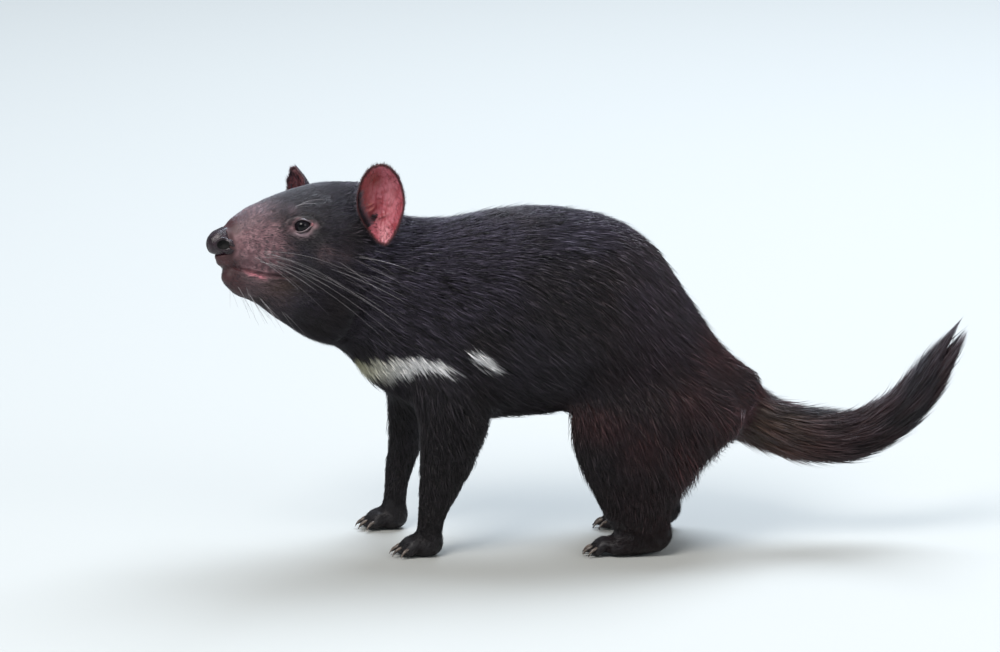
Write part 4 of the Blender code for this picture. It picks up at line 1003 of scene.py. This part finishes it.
for side, name in ((-1, "ear_left"), (1, "ear_right")):
    x0, y0, z0, *_ = EAR_ROOTS[side]
    bpy.ops.mesh.primitive_grid_add(x_subdivisions=EAR_CELLS, y_subdivisions=EAR_CELLS, size=2)
    cup = bpy.context.object
    cup.name = cup.data.name = name.replace("ear", "ear_cup")
    u, v, _ = points_of(cup.data).T
    across, up = u * np.sqrt(1 - v * v / 2), v * np.sqrt(1 - u * u / 2)
    round_rim = across ** 2 + up ** 2
    low = np.maximum(0, -up)
    deep = EAR_DEEP * (1 - round_rim) - 0.005 * up ** 2
    canal = np.exp(-((across + 0.54) ** 2 / 0.022 + (up + 0.42) ** 2 / 0.012))
    swirl = np.arctan2(up + 0.50, across + 0.62)
    wrinkle = np.sin(19 * swirl + 4 * np.sin(6 * across + 5 * up) + 3 * np.sin(9 * up))
    wrinkle = np.clip(wrinkle * ramp(across, -0.45, -0.1), 0, 1) ** 2
    wrinkle *= (1 - ramp(round_rim, 0.60, 0.92)) * (1 - 0.65 * ramp(up, -0.1, 0.5))
    deep = deep + 0.0050 * np.exp(-((across + 0.30) ** 2 + (up + 0.42) ** 2) / 0.10) + 0.0005 * canal
    inside = 1 - ramp(round_rim, 0.72, 0.98)
    raised = np.zeros(len(across))
    for fx, fz, long, wide, swing, high in EAR_FOLDS:
        c, q = math.cos(math.radians(swing)), math.sin(math.radians(swing))
        a, b = (across - fx) * c + (up - fz) * q, -(across - fx) * q + (up - fz) * c
        raised += high * bell(a / long, (b + 0.25 * a * a) / wide)
    deep -= (raised - 0.0006 * wrinkle) * inside
    deep += 0.0008 * np.sin(9 * np.arctan2(up, across) + 2 * up) * ramp(round_rim, 0.6, 1.0)
    points = np.stack([across * EAR_WIDE * (1 - 0.38 * low ** 1.5) + 0.004 * low * low, deep,
                       up * EAR_HIGH], 1)
    place = points @ np.array(ear_turn(side)).T + np.array((x0, y0 * side, z0))
    move_points(cup.data, place @ np.array(HEAD_AXES).T + np.array(NOSE))
    axis = HEAD_AXES @ ear_turn(side) @ Vector((0, -1, 0))
    if (normals_of(cup.data) @ np.array(axis)).mean() < 0:
        cup.data.flip_normals()
    crease = bell((up + 0.415 - 0.24 * across) / 0.030, (across + 0.02) / 0.30)
    # Most of these ear marks are painted light and shade: lit patches and fold tops pale, the shaded side,
    # crease, wrinkles and canal dark.
    fields = {"bright": bell((across - 0.05) / 0.34, (up + 0.80) / 0.24)
              + 0.55 * bell((across - 0.45) / 0.26, (up - 0.12) / 0.42),
              "deep": 0.85 * (1 - ramp(across, -0.85, 0.15)) * ramp(up, -0.62, -0.30)
              + 0.75 * bell((across + 0.22) / 0.26, (up - 0.58) / 0.20) + 0.7 * crease
              + (0.60 if side > 0 else 0.0),
              "wrinkle": np.maximum(0.26 * wrinkle, 0.85 * crease),
              "fold": np.clip(raised / 0.0034 - 0.45, 0, 1) * (across < -0.3),
              "canal": 1.1 * canal * (1 - ramp(raised, 0.0008, 0.0020)),
              "rim": 0.85 * ramp(round_rim, 0.92, 1.0)}
    for key, value in fields.items():
        note(cup.data, key, np.clip(value, 0, 1))
    ear_points, ear_normals = points_of(cup.data), normals_of(cup.data)
    ear_axes = np.array(HEAD_AXES @ ear_turn(side))
    ear_uv = np.stack([u, v], 1) / 2 + 0.5
    radial = unit(np.stack([across, 0 * up, up], 1) + 1e-6)
    facing = across * np.sign(ear_axes[0, 0])
    front = (round_rim > 0.90) & (facing < -0.35) & (np.abs(up + 0.2) < 0.42)
    front_lie = (0.55, -0.35, 0.85)
    if side > 0:
        front = (across > 0.15 + 0.3 * up) & (round_rim > 0.25) & (up < 0.75)
        front_lie = (-0.35, -0.30, 0.85)
    between = (round_rim > 0.45) & (round_rim < 0.96)
    for kind, count, chosen, lie, length, height in (
            ("back", 4200, (round_rim < 0.97) & (up > -0.9), radial + (0, 0, 0.5), 0.0048, 0.0007),
            ("rim", 1900, round_rim > 0.90, radial + (0, -0.35, 0), 0.0026, 0.0004),
            ("inside", 1100, between, radial + (0, -0.20, 0.3), 0.0032, 0.0006),
            ("front", 800, front, front_lie, 0.0070, 0.002)):
        picked = rng.choice(np.nonzero(chosen)[0], count)
        root, normal = ear_points[picked], ear_normals[picked] * (-1 if kind == "back" else 1)
        root = root + normal * (EAR_THICK if kind == "back" else 0) + rng.normal(0, 0.00022, (count, 3))
        ahead = np.broadcast_to(lie, (len(across), 3))[picked] + rng.normal(0, 0.16, (count, 3))
        ahead = unit(ahead @ ear_axes.T)
        if kind == "back":
            ahead = flat_to(ahead, normal)
        chance = rng.random(count)
        tip = root + ahead * (length * (0.6 + 0.7 * chance))[:, None] + normal * (height * chance)[:, None]
        marks = {key: np.zeros(count) for key in ("bare", "white", "tawny")}
        marks["chance"] = chance
        marks["brown"] = np.full(count, 0.8 if kind in ("rim", "inside") else 0.15)
        hairs = tuft_piece(name.replace("ear", f"ear_hair_{kind}"), [root, tip],
                           [unit(np.cross(normal, ahead))], [normal], [np.full(count, EAR_HAIR_WIDTH)],
                           ear_uv[picked], marks)
    modified(cup, "SOLIDIFY", thickness=EAR_THICK, offset=-1.0, use_even_offset=True)
    note(cup.data, "outer", ramp(-(normals_of(cup.data) @ np.array(axis)), -0.05, 0.15))
    cup.data.shade_smooth()
    painted(cup, ear_skin)
    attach(cup, "root")
    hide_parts(name)


# Claws. Curved, blunt horn claws, five on each front paw and four on each hind foot. Each is a round rod
# that starts inside its toe and tapers to a point.

# Toes, as degrees from straight ahead and length, and paws, as palm and its half length.
FRONT_TOES = [(-38, 0.0130), (-18, 0.0165), (0, 0.0180), (18, 0.0165), (38, 0.0130)]
HIND_TOES = [(-24, 0.0150), (-8, 0.0175), (8, 0.0175), (24, 0.0150)]
PAWS = [((-0.0705, -0.050, 0.0105), 0.0165, FRONT_TOES), ((-0.1060, 0.050, 0.0105), 0.0165, FRONT_TOES),
        ((0.1140, -0.050, 0.0100), 0.0160, HIND_TOES), ((0.1260, 0.050, 0.0100), 0.0160, HIND_TOES)]
CLAW_LENGTH, CLAW_RADIUS, CLAW_BEND, CLAW_DIP = 0.0120, 0.0016, math.radians(36), math.radians(6)
CLAW_UP, CLAW_INSIDE = 0.0090, 0.3       # its height at the toe, and the share that starts inside
CLAW_TAPER = [1, 1, 1, 0.95, 0.86, 0.72, 0.54, 0.32]


def tapered(name, paths, radii, sides, material):
    """Closed round rods through each path, their radii falling to a point at the last place."""
    corners, faces = [], []
    for path in paths:
        path = np.array(path)
        ahead = unit(np.gradient(path, axis=0))
        across = unit(np.cross(ahead, (0.12, 0.31, 0.94)))
        up = np.cross(ahead, across)
        first = len(corners)
        for place, a, b, radius in zip(path[:-1], across, up, radii):
            corners += [place + radius * (a * math.cos(t) + b * math.sin(t))
                        for t in (2 * math.pi * k / sides for k in range(sides))]
        corners.append(path[-1])
        rings = len(path) - 1
        faces.append([first + k for k in range(sides)])
        for ring in range(rings - 1):
            start = first + ring * sides
            faces += [(start + k, start + sides + k, start + sides + (k + 1) % sides, start + (k + 1) % sides)
                      for k in range(sides)]
        start = first + (rings - 1) * sides
        faces += [(start + k, len(corners) - 1, start + (k + 1) % sides) for k in range(sides)]
    return closed_piece(name, [tuple(c) for c in corners], faces, material)


horn, shader, s = finish_named("claw_horn", Roughness=0.35)
grain = s.noise(900, 3, (0.3, 1, 1)).rise(0.3, 0.7)
feed(shader, Base_Color=grain.mix((0.060, 0.045, 0.040), (0.200, 0.160, 0.130)))
claw_paths = []
for palm, half, toes in PAWS:
    for swing, length in toes:
        heading = math.radians(180 + swing)
        ahead = Vector((math.cos(heading), math.sin(heading), 0))
        root = on_body(palm) + ahead * (half * 0.45 + length + 0.0015)
        root.z = CLAW_UP
        path = []
        for k in range(len(CLAW_TAPER) + 1):
            t = -CLAW_INSIDE + (1 + CLAW_INSIDE) * k / len(CLAW_TAPER)
            dip, reach = CLAW_DIP + CLAW_BEND * max(0.0, t), CLAW_LENGTH * t
            path.append(root + ahead * (reach * math.cos(dip)) - Vector((0, 0, reach * math.sin(dip))))
        claw_paths.append([tuple(p) for p in path])
tapered("claws", claw_paths, [CLAW_RADIUS * f for f in CLAW_TAPER], 10, horn)


# Whiskers. Long pale bristles that sweep back from the muzzle, the lip and the cheek, with short ones
# on the chin and over the eyes.

WHISKERS = [  # root on the head, lie, length, droop
    ((0.036, 0.020, -0.014), (0.80, 0.40, -0.25), 0.050, 0.18),
    ((0.042, 0.023, -0.020), (0.84, 0.40, -0.28), 0.070, 0.20),
    ((0.046, 0.024, -0.012), (0.86, 0.42, -0.12), 0.075, 0.24),
    ((0.052, 0.027, -0.022), (0.86, 0.40, -0.32), 0.095, 0.20),
    ((0.056, 0.028, -0.014), (0.90, 0.38, -0.16), 0.100, 0.26),
    ((0.060, 0.030, -0.025), (0.86, 0.36, -0.40), 0.110, 0.18),
    ((0.064, 0.031, -0.017), (0.92, 0.34, -0.22), 0.120, 0.22),
    ((0.068, 0.033, -0.028), (0.86, 0.32, -0.48), 0.110, 0.15),
    ((0.071, 0.034, -0.020), (0.92, 0.32, -0.30), 0.125, 0.20),
    ((0.074, 0.035, -0.024), (0.88, 0.30, -0.42), 0.120, 0.16),
    ((0.077, 0.036, -0.018), (0.94, 0.32, -0.24), 0.115, 0.22),
    ((0.050, 0.026, -0.027), (0.76, 0.38, -0.60), 0.070, 0.12),
    ((0.118, 0.052, -0.020), (0.94, 0.30, -0.22), 0.068, 0.15),
    ((0.120, 0.052, -0.024), (0.90, 0.28, -0.40), 0.070, 0.12),
    ((0.116, 0.052, -0.023), (0.80, 0.28, -0.62), 0.055, 0.10),
    ((0.117, 0.051, -0.017), (0.97, 0.26, -0.08), 0.055, 0.15),
    ((0.078, 0.026, 0.026), (0.80, 0.30, 0.50), 0.026, 0.30),
    ((0.082, 0.027, 0.027), (0.85, 0.34, 0.40), 0.030, 0.30),
    ((0.028, 0.008, -0.044), (0.30, 0.30, -0.90), 0.026, 0.05),
    ((0.034, 0.011, -0.047), (0.45, 0.30, -0.85), 0.032, 0.05),
    ((0.040, 0.006, -0.052), (0.50, 0.15, -0.85), 0.034, 0.05),
    ((0.047, 0.014, -0.054), (0.60, 0.25, -0.75), 0.038, 0.05),
    ((0.054, 0.010, -0.060), (0.62, 0.20, -0.75), 0.036, 0.05),
    ((0.062, 0.016, -0.062), (0.70, 0.20, -0.68), 0.036, 0.05)]
BRISTLE_RADIUS, BRISTLE_RINGS, BRISTLE_SIDES = 0.00014, 9, 4
bristle, shader, s = finish_named("whisker", Roughness=0.30, Specular_IOR_Level=0.6)
feed(shader, Base_Color=s.attribute("chance").mix((0.10, 0.085, 0.090), (0.52, 0.49, 0.50)))
whisker_paths, shades = [], []
for side in (-1, 1):
    for place, lie, length, droop in WHISKERS:
        for _ in range(2):
            place = np.array(place) + rng.normal(0, 0.0030, 3) * (1, 0, 1)
            root, normal = onto_hide([on_head(place, side)])
            ahead = np.array(HEAD_AXES @ Vector((lie[0], lie[1] * side, lie[2])))
            ahead = unit((ahead + rng.normal(0, 0.12, 3) * (1, 0.6, 1))[None])[0]
            long = length * rng.uniform(0.8, 1.1)
            start, fall = root[0] - normal[0] * 0.0006, np.array((0, 0, long * droop))
            whisker_paths.append([start + ahead * long * t - fall * t ** 2.2
                                  for t in np.linspace(0, 1, BRISTLE_RINGS + 1)])
            shades.append(rng.random())
radii = [BRISTLE_RADIUS * (1 - 0.65 * k / BRISTLE_RINGS) for k in range(BRISTLE_RINGS)]
whiskers = tapered("whiskers", whisker_paths, radii, BRISTLE_SIDES, bristle)
note(whiskers.data, "chance", np.repeat(shades, BRISTLE_RINGS * BRISTLE_SIDES + 1))


# Stage. A plain pale floor, soft light from above on both sides, and a camera that looks at the animal's
# left from a little above.

bpy.ops.mesh.primitive_plane_add(size=30)
floor = bpy.context.object
floor.name = "floor"
pale, shader, s = finish_named("studio_floor", Roughness=0.9)
shader.inputs["Base Color"].default_value = (0.43, 0.44, 0.42, 1)
floor.data.materials.append(pale)
world = bpy.data.worlds.new("studio")
bpy.context.scene.world = world
world.use_nodes = True
world.node_tree.nodes["Background"].inputs[0].default_value = (0.82, 0.90, 1.0, 1)
world.node_tree.nodes["Background"].inputs[1].default_value = 0.37
MIDDLE = on_body((0, 0, 0.2143))
LAMPS = [  # place from the animal's middle, size, strength, colour
    ((-1.9, -2.9, 4.0), 2.6, 250, (1.0, 0.96, 0.93)), ((1.2, 2.3, 4.4), 3.4, 470, (0.80, 0.88, 1.0)),
    ((1.6, -1.2, 1.1), 1.2, 12, (1.0, 0.98, 0.95))]
for place, size, energy, tint in LAMPS:
    bpy.ops.object.light_add(type="AREA", location=MIDDLE + Vector(place))
    lamp = bpy.context.object
    lamp.data.size, lamp.data.energy, lamp.data.color = size, energy, tint
    lamp.rotation_euler = (-Vector(place)).to_track_quat("-Z", "Y").to_euler()
VIEW_RISE, VIEW_DISTANCE = math.radians(13), 5.0
away = Vector((0, -math.cos(VIEW_RISE), math.sin(VIEW_RISE))) * VIEW_DISTANCE
bpy.ops.object.camera_add(location=MIDDLE + away, rotation=(math.pi / 2 - VIEW_RISE, 0, 0))
camera = bpy.context.object
camera.data.sensor_width, camera.data.lens = 36, 187.5
bpy.context.scene.camera = camera
bpy.context.scene.view_settings.view_transform = "Standard"
